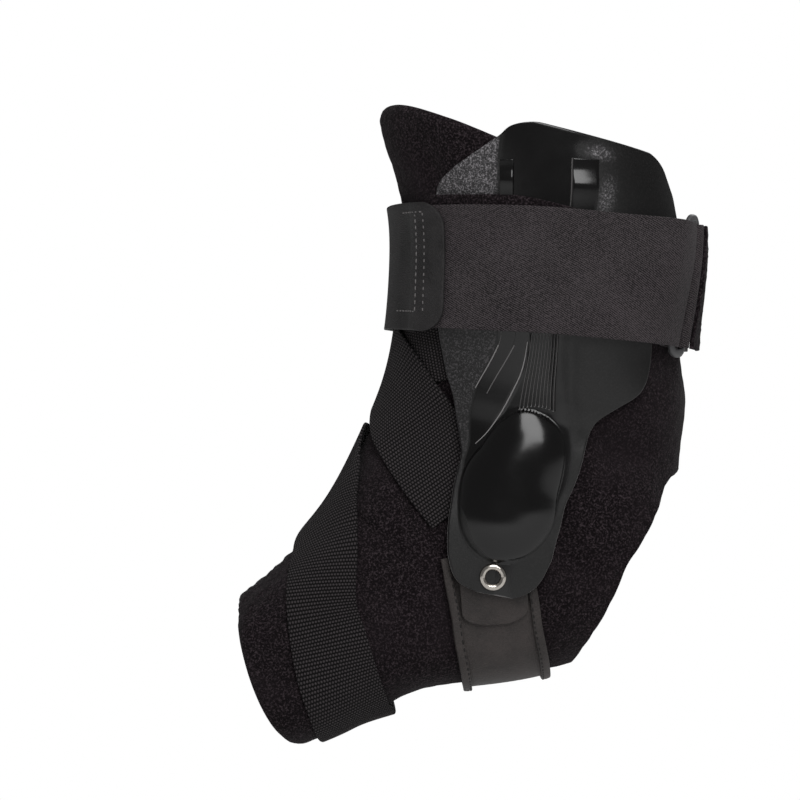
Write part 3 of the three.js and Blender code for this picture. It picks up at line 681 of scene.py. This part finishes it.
# The dome: its peak by the distance down the shell and its reach each way, in mm
dome_height = 0.0065
dome_peak, dome_above, dome_below = 132.5, 33.0, 21.0
dome_front, dome_rear = 14.1, 19.1
dome_top_aside, dome_shift = 3.4, 5.4
dome_squareness, cup_flatness, cup_steepness = 2.4, 2.3, 0.72


def dome_reach(d, a):
    """0 at the dome's peak and 1 at its foot, by the place on the shell in mm"""
    peak = dome_top_aside - dome_shift * smoothstep(d, 98, 130)
    lengthwise = np.abs(d - dome_peak) / np.where(d < dome_peak, dome_above, dome_below)
    crosswise = (a - peak) / np.where(a < peak, dome_front, dome_rear)
    return np.sqrt(lengthwise ** dome_squareness + crosswise ** 2)


# The polished field and the recess with the fine ribs lie between two lines: distance down the
# shell, left and right in mm
gloss_field = np.array([
    [0, -23, 2], [12, -21.8, 2.2], [30, -18.8, 4.6], [79, -10.2, 9.8], [95, -14.2, 15], [104, -15, 16.5],
    [112, -14.5, 17.8], [121, -15.6, 17.9], [136, -14.8, 15.4], [148, -9.4, 9.2], [154, -2, 2],
])
recess = np.array([
    [40, -1.0, 6.2], [76, -0.9, 8.8], [86, -0.6, 10.6], [93, -1.8, 12.2], [101, -4.2, 13.8],
    [108, -8.4, 16],
])
recess_depth, field_height = 0.7, 0.25
# The long ridge behind the ribs: its place aside and its height by the distance, in mm
ridge_place = ([10, 28, 74, 88, 98, 108], [6.4, 8.6, 13.0, 15.8, 18.2, 20.5])
ridge_height, ridge_reach = ([30, 60, 95, 112], [0, 0.9, 0.9, 0]), 2.6
# Where the grain shows again with painted glints, by the rear bar: distance, place aside, reaches in mm,
# amount
painted_glint_patches = [(7.5, 8.5, 2.6, 6.0, 1.1), (23, 15.5, 7.0, 3.0, 0.7)]


def sides_at(table, d):
    return (np.interp(d, table[:, 0], table[:, side]) for side in (1, 2))


def shell_relief(distance, aside):
    d, a = distance / mm, aside / mm
    cup = dome_height * np.maximum(0, 1 - dome_reach(d, a) ** cup_flatness) ** cup_steepness
    left, right = sides_at(recess, d)
    inside = smoothstep(a, left - 0.3, left + 0.5) * smoothstep(a, right + 0.8, right - 2.6)
    sunk = inside * smoothstep(d, 34, 48) * smoothstep(d, 108, 99) * recess_depth
    field = smoothstep(a, -23.5, -22.0) * smoothstep(d, 80, 60) * field_height
    bead = np.interp(d, *ridge_height) * bell(a, np.interp(d, *ridge_place), ridge_reach)
    return cup + (field - sunk + bead) * mm


def shell_gloss(d, a):
    """The finish by zone: 0 is a grain with painted glints, 1 the same grain with painted shade, 2
    polished. A painted highlight, mostly along edges, is 3.
    """
    left, right = sides_at(gloss_field, d)
    soft = 1 + 2.2 * smoothstep(d, 75, 30)
    polished = smoothstep(a, left - 0.8 * soft, left + 0.6 * soft)
    polished = polished * smoothstep(a, right + 3.0 * soft, right - 0.6 * soft)
    # Painted shade: the grain on the rear side of the polished field, lower down the plate and at its
    # bottom end takes the darker zone
    dark = smoothstep(a, right - 0.6, right + 3.0) + 0.6 * smoothstep(d, 140, 152) * smoothstep(a, -9, 2)
    lower_painted_shade = 0.7 * smoothstep(d, 50, 80) + 0.3 * smoothstep(d, 112, 140)
    zone = 2 * polished + (1 - polished) * np.clip(dark + lower_painted_shade, 0, 1)
    # Painted glints come back on the grain in patches by the rear bar
    for at_d, at_a, long, wide, amount in painted_glint_patches:
        zone = zone - amount * bell(d, at_d, long) * bell(a, at_a, wide)
    return np.clip(zone, 0, 2)


def shell_face(distance, aside):
    """Angle, station and height of the plate's outer face"""
    angle, station, height = shell_course.beside(distance, aside)
    return angle, station, height + shell_wall + shell_relief(distance, aside)


def moulded_plastic():
    """Black moulding: polished over the cup and the middle field, grained on the flange. Painted glints
    make part of the grain sparkle, painted shade darkens the rest of it, and a painted highlight lightens
    edges and lines
    """
    finish = Finish("moulded_plastic", specular_ior_level=0.45)
    zone = finish.laid()[2]
    # Zone masks: from the grain with painted glints to the same grain with painted shade, then polished,
    # then a painted highlight
    painted_shade_mask, gloss, painted_highlight = (finish.smooth(zone, level, level + 1.0) for level in (0.0, 1.0, 2.0))
    grain = finish.noise(1500, 3, 0.75)
    glint_specks = finish.smooth(grain, 0.47, 0.66)
    # Lit and shaded copies of one grain: painted glints on the first, painted shade on the second
    painted_glint_grain = finish.mix(glint_specks, (0.012, 0.011, 0.012), (0.21, 0.2, 0.21))
    painted_shade_grain = finish.mix(glint_specks, (0.001, 0.0009, 0.0009), (0.006, 0.0054, 0.0056))
    smooth = finish.mix(gloss, finish.mix(painted_shade_mask, painted_glint_grain, painted_shade_grain), (0.0022, 0.002, 0.0021))
    # The painted highlight lightens the colour to a pale grey
    finish.colour(painted_highlight, smooth, (0.24, 0.23, 0.23))
    smudged = gloss * (finish.noise(55, 4, 0.6) * 0.2 - 0.33)
    finish.feed("Roughness", painted_shade_mask * -0.17 + smudged + painted_highlight * 0.35 + 0.55)
    rough = grain * (1 - gloss) * (1 - painted_shade_mask * 0.6)
    finish.bump(rough + finish.noise(220) * gloss * 0.08, 0.16 * mm)
    return finish.material


plastic = moulded_plastic()
plate_columns, plate_rows, plate_rim = 134, 262, 0.6 * mm


def plate_places(u, v):
    distance, end_fall = spread(v, plate_rows, shell_course.length - shell_start, plate_rim, 4)
    rounded = inset(distance, shell_corner, shell_corner)
    distance = distance + shell_start
    front, rear = shell_course.at(distance)[0][3:]
    width = (front + rear) * shell_width - 2 * rounded
    across, side_fall = spread(u, plate_columns, width, plate_rim, 4)
    aside = across - front * shell_width + rounded
    angle, station, high = shell_face(distance, aside)
    edge = np.maximum(end_fall, side_fall)
    zone = shell_gloss(distance / mm, aside / mm)
    # Painted highlight along the rim of the plate's lower part
    zone = zone + (3 - zone) * np.sqrt(edge) * smoothstep(distance / mm, 70, 110)
    return angle, station, high - shell_wall, high - edge * plate_rim, distance / mm, aside / mm, zone


def shell_strip(name, rows, columns, count, sunk=0.3, shine=2.0, painted_highlight=0.0, painted_tip_highlight=0.0, edge=0.3):
    """A raised bar on the plate through rows of distance, place aside, width and height in mm.
    A shine above 2 paints a highlight along it, and the next two amounts paint a highlight on its front
    edge and on its lower end."""
    rows = np.array(rows, float)

    def place(u, v):
        line, end_fall = spread(v, count, 1.0, 1.2 / count)
        d, a, width, rise = between(rows, line).T
        ahead = between(rows, np.minimum(line + 0.01, 1)) - between(rows, np.maximum(line - 0.01, 0))
        along = unit(ahead[:, :2])
        across, side_fall = spread(u, columns, 1.0, edge)
        off = (across - 0.5) * width
        d, a = d - along[:, 1] * off, a + along[:, 0] * off
        angle, station, face = shell_face(d * mm, a * mm)
        crown = (1 - 0.8 * np.maximum(side_fall, end_fall)) * rise
        # Painted highlight: a lighter zone along the front edge and at the lower end
        zone = shine + painted_highlight * side_fall * (across < 0.5) + painted_tip_highlight * smoothstep(line, 0.93, 0.98)
        return angle, station, face - sunk * mm, face + crown * mm, d, a, zone

    dress_pair(f"side_shell_{name}", thick_sheet(columns, count, place), plastic, "shell_plastic")


dress_pair("side_shell_plate", thick_sheet(plate_columns, plate_rows, plate_places), plastic,
           "shell_plastic", "shell")
# Both bars carry a painted highlight along their front edges
shell_strip("front_bar", [
    (15.4, -19.2, 5.0, 0.9), (19, -18.6, 4.9, 1.0), (22.5, -17.9, 4.8, 1.7), (28, -16.9, 4.8, 1.5),
    (40, -14.6, 4.8, 1.2), (62, -9.6, 5.0, 0.9), (74, -7.6, 4.8, 0.4), (82, -8.4, 4.4, -0.1),
], 16, 100, painted_highlight=1.0, edge=0.1)
shell_strip("rear_bar", [
    (10.8, 6.2, 9.2, 0.8), (15.5, 6.9, 9.1, 0.9), (19.7, 7.5, 9.0, 2.3), (28, 8.6, 8.7, 1.7),
    (44, 9.9, 8.4, 1.3), (56, 11.0, 7.6, 0.8), (64, 11.8, 7.0, 0.2), (70, 12.6, 6.0, -0.25),
], 18, 100, painted_highlight=1.0, edge=0.07)
# Fan lines: a shine above 2 paints a pale highlight along each line
for number, (shine, rows) in enumerate([
    (2.7, [(79, -10.2, 0.4, 0.4), (87.5, -12.2, 0.4, 0.45), (95.5, -14.8, 0.3, 0.2)]),
    (2.4, [(78, -5.0, 0.5, 0.35), (87, -7.6, 0.45, 0.35), (96.5, -10.6, 0.3, 0.15)]),
    (2.8, [(76, -0.9, 0.3, 0.3), (86, -0.8, 0.4, 0.4), (93, -2.0, 0.45, 0.5), (101, -4.5, 0.45, 0.5),
           (108, -8.6, 0.35, 0.3), (113, -12.9, 0.25, 0.15)]),
], 1):
    shell_strip(f"fan_line_{number}", rows, 8, 40, shine=shine)
# Fine ribs: a faint painted highlight along each rib and a stronger one at its lower tip
rib_count = 10
for number in range(rib_count):
    share = (number + 0.5) / rib_count
    end = lerp(100.2, 98.8, share) - 1.6 * math.sin(math.pi * share)
    shell_strip(f"fine_rib_{number + 1}", [
        (d, lerp(left, right, share), 0.5 * (right - left) / rib_count, rise)
        for d, left, right, rise in ((50, -0.4, 7.4, 0.9), (66, -0.4, 8.4, 0.9), (82, 0.0, 10.2, 0.95),
                                     (end - 2.2, 0.4, 12.6, 1.0), (end, 0.4, 12.8, 1.9))
    ], 8, 70, sunk=0.2, shine=2.25, painted_tip_highlight=0.75)

# Liners: thin pads of the sleeve's cloth behind the broad part of each shell, a little smaller
# than the plate, which covers them
liner_rear_reach = 0.45
liner_course = Course([
    (angle, station, padded_gap / mm, front, min(rear, liner_rear_reach))
    for angle, station, _, front, rear in shell_rows(narrower=1.5 * mm)[2:23]
])
liner = panel(liner_course, shell_width, liner_thickness, 40, 44, rim=0.4 * mm)
for piece in dress_pair("shell_liner", liner, pile, "padded_cloth", "shell_pad"):
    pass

# Rivets: nickel eyelets that hold each shell to its tongue, rolled over on the plate, with a
# darker shank down in the bore
rivet_at = np.array([rivet_angle]), np.array([rivet_station])
rivet_place = Vector(on_form(*rivet_at, 0)[0])
rivet_out = Vector(form_frame(*rivet_at)[2][0])
shell_top = shell_riveted + shell_wall


def eyelet(name, profile, material):
    """Turns a profile of radius and height in mm round the rivet's axis"""
    bm = bmesh.new()
    line = [bm.verts.new((r * mm, 0, shell_top + h * mm)) for r, h in profile]
    edges = [bm.edges.new(pair) for pair in zip(line, line[1:])]
    bmesh.ops.spin(bm, geom=line + edges, cent=(0, 0, 0), axis=(0, 0, 1), angle=2 * math.pi, steps=64,
                   use_merge=True)
    bmesh.ops.remove_doubles(bm, verts=bm.verts, dist=0.001 * mm)
    bmesh.ops.holes_fill(bm, edges=[e for e in bm.edges if e.is_boundary])
    turn = rivet_out.to_track_quat("Z", "Y").to_matrix().to_4x4()
    bmesh.ops.transform(bm, matrix=Matrix.Translation(rivet_place) @ turn, verts=bm.verts)
    bmesh.ops.recalc_face_normals(bm, faces=bm.faces)
    dress_pair(name, bm, material, "bright_metal", "rivet")


nickel = Finish("rolled_nickel", metallic=1.0)
nickel.colour(nickel.noise(900, 3), (0.4, 0.37, 0.335), (0.62, 0.585, 0.54))
nickel.feed("Roughness", 0.1 + nickel.noise(500, 3) * 0.16)
nickel.bump(nickel.noise(1500), 0.02 * mm)
eyelet("rivet_flange", [
    (2.35, -1.6), (2.45, 0.2), (2.75, 0.95), (3.3, 1.35), (3.9, 1.3), (4.4, 1.0), (4.7, 0.5), (4.65, 0.1),
    (4.2, 0.0), (3.0, -0.1), (2.35, -1.6),
], nickel.material)
shank = Finish("dull_shank", metallic=0.8, roughness=0.42)
shank.colour(shank.noise(700, 3), (0.01, 0.006, 0.004), (0.06, 0.038, 0.026))
eyelet("rivet_shank", [
    (0, -0.2), (0.7, -0.25), (1.3, -0.5), (1.9, -0.9), (2.5, -1.2), (2.5, -1.9), (0, -1.9),
], shank.material)

# Closing strap: soft laminated cloth in two halves that turn round the bars of a plastic ring
# behind the near shell. The long half ends in a stiff grip tab on the front.
strap_thickness = 0.0012
strap_width = 0.043
rib_height = 0.001
ring_bar = 0.003
ring_bar_thickness = 0.0022
ring_slack = 0.0006
ring_spacing = 0.0086
ring_clearance = 0.0006
ring_lean = 0.004
strap_over_shell = shell_floor + shell_wall + rib_height + layer_gap + strap_thickness / 2
strap_step = strap_thickness + layer_gap
strap_stations = [[0.715], [0.722], [0.736], [0.751], [0.758], [0.76], [0.76]]
strap_steps = 4
# The ring's place round the leg in degrees, how far it leans along the strap, where that has faded
ring_angle, ring_skew, ring_fade = 152, 8, 45
degree = 0.0009  # one degree round the leg in metres, about
ring_height = 1.6 * strap_step + ring_bar_thickness / 2 + ring_slack - layer_gap


def on_strap(angle, across, height):
    """Places by their angle round the leg, their metres up from the strap's middle and a height"""
    from_ring = turn_from_front(angle - ring_angle)
    near_ring = smoothstep(from_ring, ring_fade, ring_spacing / mm)
    turned = angle + ring_skew * (across / strap_width) * near_ring
    station = between(strap_stations, turn_from_front(turned) / 180)[:, 0]
    for _ in range(strap_steps):
        up = unit(form_frame(turned, station)[1])
        station = walk(turned, station, up, across / strap_steps)[1]
    lean = ring_lean * (across / strap_width + 0.5) * near_ring
    return on_form(turned, station, height + lean)


def strap_band(line, rows, columns=24, width=strap_width, thickness=strap_thickness, corner=0.0,
               rim=0.35 * mm, relief=None, shift=0.0, taller=None):
    """A band of the strap through rows of angle and height in metres. corner rounds its far end,
    shift moves it up the strap, and taller adds to its upper side."""
    line = np.array(line) * (degree, 1)
    shares = np.linspace(0, 1, 3000)
    reached = walked(between(line, shares))
    length = reached[-1]

    def place(u, v):
        distance, end_fall = spread(v, rows, length, rim)
        share = np.interp(distance, reached, shares)
        angle = between(line, share)[:, 0] / degree
        room = width - (2 * inset(length - distance, corner, corner) if corner else 0)
        across, side_fall = spread(u, columns, room + (taller(angle) if taller else 0), rim)
        across = across - room / 2
        half = thickness / 2 - np.maximum(end_fall, side_fall) * 0.7 * rim
        extra = relief(distance, across, angle) if relief else 0
        return share, across, -half, half + extra, distance / mm, across / mm

    def on_band(share, across, off):
        ahead, behind = np.minimum(share + 0.003, 1), np.maximum(share - 0.003, 0)
        tangent = unit(between(line, ahead) - between(line, behind))
        at = between(line, share) + off[:, None] * np.stack([-tangent[:, 1], tangent[:, 0]], -1)
        return on_strap(at[:, 0] / degree, across + shift, at[:, 1])

    return thick_sheet(columns, rows, place, on_band)


def run(start, end, height, pieces):
    return [(angle, height) for angle in np.linspace(start, end, pieces + 1)]


def half_turn(bar_angle, opening):
    """Round a bar of the ring, from outside it to inside it, open to one side"""
    radius = ring_bar_thickness / 2 + ring_slack + strap_thickness / 2
    reach = radius + (ring_bar - ring_bar_thickness) / 2
    return [(bar_angle + opening * reach * math.cos(math.radians(turn)) / degree,
             ring_height + radius * math.sin(math.radians(turn))) for turn in range(90, -91, -30)]


front_bar = ring_angle - ring_spacing / 2 / degree
rear_bar = ring_angle + ring_spacing / 2 / degree
outer_run = strap_over_shell + strap_step
wrap_outer = ring_height + ring_bar_thickness / 2 + ring_slack + strap_thickness / 2
wrap_inner = 2 * ring_height - wrap_outer


def strap_cloth():
    """Laminated stretch cloth: a satin face with a very fine slanting weave"""
    finish = Finish("strap_cloth", roughness=0.65, sheen_weight=0.03, specular_ior_level=0.12)
    along, aside, _ = finish.laid()
    ripple = finish.noise(260) * 1.6
    slant = abs(((along * 0.75 + aside * 1.35 + ripple * 0.5) * math.pi).sine())
    cross = abs(((along * 1.7 - aside * 0.5 + ripple) * math.pi).sine())
    fine = finish.smooth(finish.noise(1900, 3, 0.7), 0.36, 0.66)
    weave = slant * 0.75 + cross * 0.2 + fine * 0.6
    tone = finish.smooth(weave * 0.66 + finish.noise(42, 3) * 0.3, 0.42, 1.02)
    finish.colour(tone, (0.003, 0.0025, 0.0027), (0.06, 0.0508, 0.0543))
    finish.bump(weave, 0.12 * mm)
    return finish.material


cloth = strap_cloth()


def over_bars(angle):
    """The strap rises a little where it crosses the shell's two long bars"""
    return sum(rise * mm * bell(angle, bar, 5) for bar, rise in ((104, 0.5), (77, 0.25)))


def lumpy(size, depth):
    """Uneven cloth, by the place on a band"""

    def relief(distance, across, *_):
        return lumps(np.stack([distance, across, 0 * across], -1), size, depth)

    return relief


def cuff_relief(distance, across, angle):
    slack = lumpy(0.022, 0.35 * mm)(distance, across)
    selvedge = 0.18 * mm * bell(strap_width / 2 - np.abs(across), 1.1 * mm, 0.3 * mm)
    return over_bars(angle) + slack - selvedge


cuff = strap_band([
    (35, 3.3 * mm), (38.5, 5.2 * mm), (42, 6.9 * mm), (46, outer_run), *run(51, 133, outer_run, 11),
    (138, outer_run - 0.2 * mm), (142, wrap_outer + 0.8 * mm), *half_turn(front_bar, 1),
    (144.5, wrap_inner + 0.2 * mm), (141.5, wrap_inner + 1.8 * mm), (138, strap_over_shell - 0.5 * mm),
    (133, strap_over_shell),
], 240, columns=36, relief=cuff_relief)
dress(new_object("cuff_strap", cuff), cloth, "strap_cloth", "cuff_band")


def lining_height(angle):
    """How far the lining shows above the strap, toward its front end"""
    return 3.6 * mm * smoothstep(angle, 106, 78) * smoothstep(angle, 40, 46)


lining = strap_band(run(134, 40.5, strap_over_shell - 0.1 * mm, 13), 150, columns=30,
                    taller=lining_height, relief=lumpy(0.003, 0.3 * mm))
dress(new_object("cuff_lining", lining), pile, "strap_cloth", "cuff_band")

strap_over_bands = second_layer + elastic_thickness + layer_gap + strap_thickness / 2
closure = strap_band([
    *run(29, -29, strap_over_bands, 9), (-33, strap_over_bands + 0.5 * mm),
    (-37, strap_over_shell - 0.7 * mm), *run(-42, -156, strap_over_shell, 15),
    (-164, strap_over_shell - 1.2 * mm), (-174, wrap_inner + 1.4 * mm), (-184, wrap_inner + 0.5 * mm),
    (-194, wrap_inner + 0.1 * mm), *half_turn(rear_bar - 360, -1)[::-1],
], 300, relief=cuff_relief)
dress(new_object("closing_strap", closure), cloth, "strap_cloth", "closure_strap")
tail = strap_band([
    (-199.5, wrap_outer), (-196, wrap_outer), (-189, wrap_outer), (-183, wrap_outer - 0.1 * mm),
], 40, thickness=strap_thickness + 0.5 * mm, rim=0.6 * mm, relief=lumpy(0.0016, 0.5 * mm))
dress(new_object("strap_tail", tail), pile, "strap_cloth", "closure_strap")

grip_thickness = 0.0012
grip_rise = (strap_thickness + grip_thickness) / 2 + 1.5 * layer_gap
grip_low = strap_over_bands + grip_rise
grip_high = outer_run + grip_rise
grip_line = [
    *run(-20, 28, grip_low, 8), (33, grip_low + 0.7 * mm), (37, grip_low + 2.2 * mm),
    (41, grip_low + 3.5 * mm), (45, grip_high - 0.1 * mm), (47.5, grip_high), (50.5, grip_high),
    (53, grip_high),
]
grip = strap_band(grip_line, 110, columns=40, width=strap_width + 0.003, thickness=grip_thickness,
                  corner=0.009, rim=0.5 * mm)
tab_cloth = coated_cloth("coated_tab", (0.0065, 0.006, 0.0062), (0.023, 0.0212, 0.0218))
dress(new_object("grip_tab_end", grip), tab_cloth, "coated_fabric", "grip_tab")


def sewing_thread(name, dark, light):
    """Twisted thread, a little paler on its worn side"""
    finish = Finish(name, roughness=0.7, specular_ior_level=0.3)
    finish.colour(finish.noise(1800), dark, light)
    finish.bump(finish.noise(3000), 0.05 * mm)
    return finish.material


pale_thread = sewing_thread("worn_thread", (0.05, 0.045, 0.045), (0.22, 0.21, 0.21))
dark_thread = sewing_thread("dark_thread", (0.002, 0.0017, 0.0017), (0.012, 0.0105, 0.0105))
thread_width, thread_rim = 0.0005, 0.1 * mm
stitch_pitch, stitch_share = 2.4, 0.72


def stitches(distance, *_):
    """A sewn row: the thread stands over the cloth for most of each stitch, then goes down"""
    phase = np.mod(distance / mm / stitch_pitch, 1)
    arch = np.clip(np.sin(math.pi * np.clip(phase / stitch_share, 0, 1)), 0, 1)
    return (0.42 * np.sqrt(arch) - 0.3) * mm


def grip_height(angle):
    return np.interp(angle, *np.array(grip_line).T)


# The rows along the grip tab: angles at both ends, height up the strap in mm
for number, (start, end, up) in enumerate([(27, 44.3, 19.4), (22, 39.8, -16.0)], 1):
    heights = [(angle, grip_height(angle)) for angle in np.linspace(start, end, 8)]
    row = strap_band(heights, 60, columns=8, width=thread_width, rim=thread_rim, shift=up * mm,
                     thickness=grip_thickness + 0.1 * mm, relief=stitches)
    dress(new_object(f"grip_stitches_{number}", row), pale_thread, "strap_cloth")

# The rows down the middle of the stirrup's tapes, a little sunk into them
half_thread = 0.5 * thread_width / stirrup_width
for side, edge in (("front", -1), ("rear", 1)):
    middle = edge * (0.5 - 0.84 * binding_share)
    row = panel(stirrup_course(tongue_floor, half_thread - middle, half_thread + middle), stirrup_width,
                binding_thickness, 8, 620, rim=thread_rim,
                relief=lambda distance, *_: stitches(distance) + 0.24 * mm)
    dress(new_object(f"stirrup_stitches_{side}", row), dark_thread, "coated_fabric")

# The rows up the grip tab: angle, both ends up the strap and height over the tab's face in mm
for number, (angle, low, high, lift) in enumerate([(44.3, -16.0, 19.4, 0), (39.8, -16.0, 18.4, 0.2)], 3):
    def upright(u, v):
        up, end_fall = spread(v, 150, (high - low) * mm, thread_rim)
        aside, side_fall = spread(u, 8, thread_width, thread_rim)
        fall = np.maximum(end_fall, side_fall) * 0.12 * mm
        face = grip_height(angle) + grip_thickness / 2 + lift * mm
        turned = angle + (aside - thread_width / 2) / degree
        return turned, up + low * mm, face - 0.5 * mm, face + stitches(up) - fall, up / mm, aside / mm

    row = thick_sheet(8, 150, upright, on_strap)
    dress(new_object(f"grip_stitches_{number}", row), pale_thread, "strap_cloth")

# Ring: a satin grey moulded loop behind the near shell. Its two long bars carry the strap's halves,
# and its section is a rounded oblong.
ring_around, ring_section, ring_corner = 120, 20, 0.0032


def squarish(value):
    return np.sign(value) * np.abs(value) ** 0.75


def ring_mesh():
    bm = bmesh.new()
    bmesh.ops.create_grid(bm, x_segments=ring_around, y_segments=ring_section, size=0.5)
    turn, rolled_by = (np.array([v.co[:2] for v in bm.verts]).T + 0.5) * 2 * math.pi
    half_w, half_h = ring_spacing / 2, (strap_width + 2 * ring_clearance + ring_bar) / 2
    # The middle line of the bar is a rectangle with round corners, walked by its length
    line = []
    for sx, sy, first in ((1, 1, 0), (-1, 1, 90), (-1, -1, 180), (1, -1, 270)):
        for at in np.radians(first + np.linspace(0, 90, 9)):
            line.append((sx * (half_w - ring_corner) + ring_corner * math.cos(at),
                         sy * (half_h - ring_corner) + ring_corner * math.sin(at)))
    line = np.array(line + line[:1])
    reached = walked(line)
    share = turn / (2 * math.pi) * reached[-1]
    x, y = (np.interp(share, reached, axis) for axis in line.T)
    ahead_x, ahead_y = (np.interp(share + 1e-4, reached, axis, period=reached[-1]) for axis in line.T)
    out = unit(np.stack([ahead_y - y, x - ahead_x], -1))
    wide = ring_bar / 2 * squarish(np.cos(rolled_by))
    tall = ring_bar_thickness / 2 * squarish(np.sin(rolled_by))
    around = ring_angle + (x + out[:, 0] * wide) / degree
    points = on_strap(around, y + out[:, 1] * wide, ring_height + tall)
    for vert, point in zip(bm.verts, points):
        vert.co = point
    bmesh.ops.remove_doubles(bm, verts=bm.verts, dist=0.01 * mm)
    bmesh.ops.recalc_face_normals(bm, faces=bm.faces)
    return bm


grey = Finish("satin_grey_ring")
grey.colour(grey.noise(90, 3), (0.035, 0.035, 0.037), (0.075, 0.075, 0.078))
grey.feed("Roughness", 0.35 + grey.noise(300) * 0.2)
grey.bump(grey.noise(1800), 0.02 * mm)
dress(new_object("strap_loop", ring_mesh()), grey.material, "ring_plastic", "strap_ring")

# Studio: a white background that lights the scene only dimly, a key light from above the camera,
# two fills, and a pale floor that the camera doesn't see
world = bpy.data.worlds.new("studio")
world.use_nodes = True
sky = world.node_tree
choice = sky.nodes.new("ShaderNodeMixShader")
sky.links.new(sky.nodes.new("ShaderNodeLightPath").outputs["Is Camera Ray"], choice.inputs[0])
for socket, strength, node in ((1, 0.16, sky.nodes.new("ShaderNodeBackground")),
                               (2, 1.0, sky.nodes["Background"])):
    node.inputs[0].default_value, node.inputs[1].default_value = (1, 1, 1, 1), strength
    sky.links.new(node.outputs[0], choice.inputs[socket])
sky.links.new(choice.outputs[0], sky.nodes["World Output"].inputs[0])
scene.world = world

# name, place, size, power, and whether it shows in reflections
for name, place, size, power, glossy in (
    ("key", (0.18, -0.84, 0.86), (0.62, 1.2), 13, True),
    ("left_fill", (-1.3, -0.5, 1.1), (1.0, 1.0), 4, False),
    ("rear_fill", (0.6, 1.1, 0.9), (0.8, 0.8), 6, True),
):
    light = bpy.data.lights.new(name, "AREA")
    light.shape = "RECTANGLE"
    light.size, light.size_y = size
    light.energy = power
    lamp = bpy.data.objects.new(name, light)
    lamp.location = place
    lamp.rotation_euler = (-Vector(place)).to_track_quat("-Z", "Y").to_euler()
    lamp.visible_glossy = glossy
    scene.collection.objects.link(lamp)

floor_height = -0.112
floor_mesh = bmesh.new()
bmesh.ops.create_grid(floor_mesh, x_segments=1, y_segments=1, size=4)
bmesh.ops.translate(floor_mesh, vec=(0, 0, floor_height), verts=floor_mesh.verts)
floor = new_object("studio_floor", floor_mesh)
floor.visible_camera = False
pale = Finish("pale_floor", roughness=0.9, base_color=(0.4, 0.4, 0.4, 1), emission_strength=0.42)
floor.data.materials.append(pale.material)
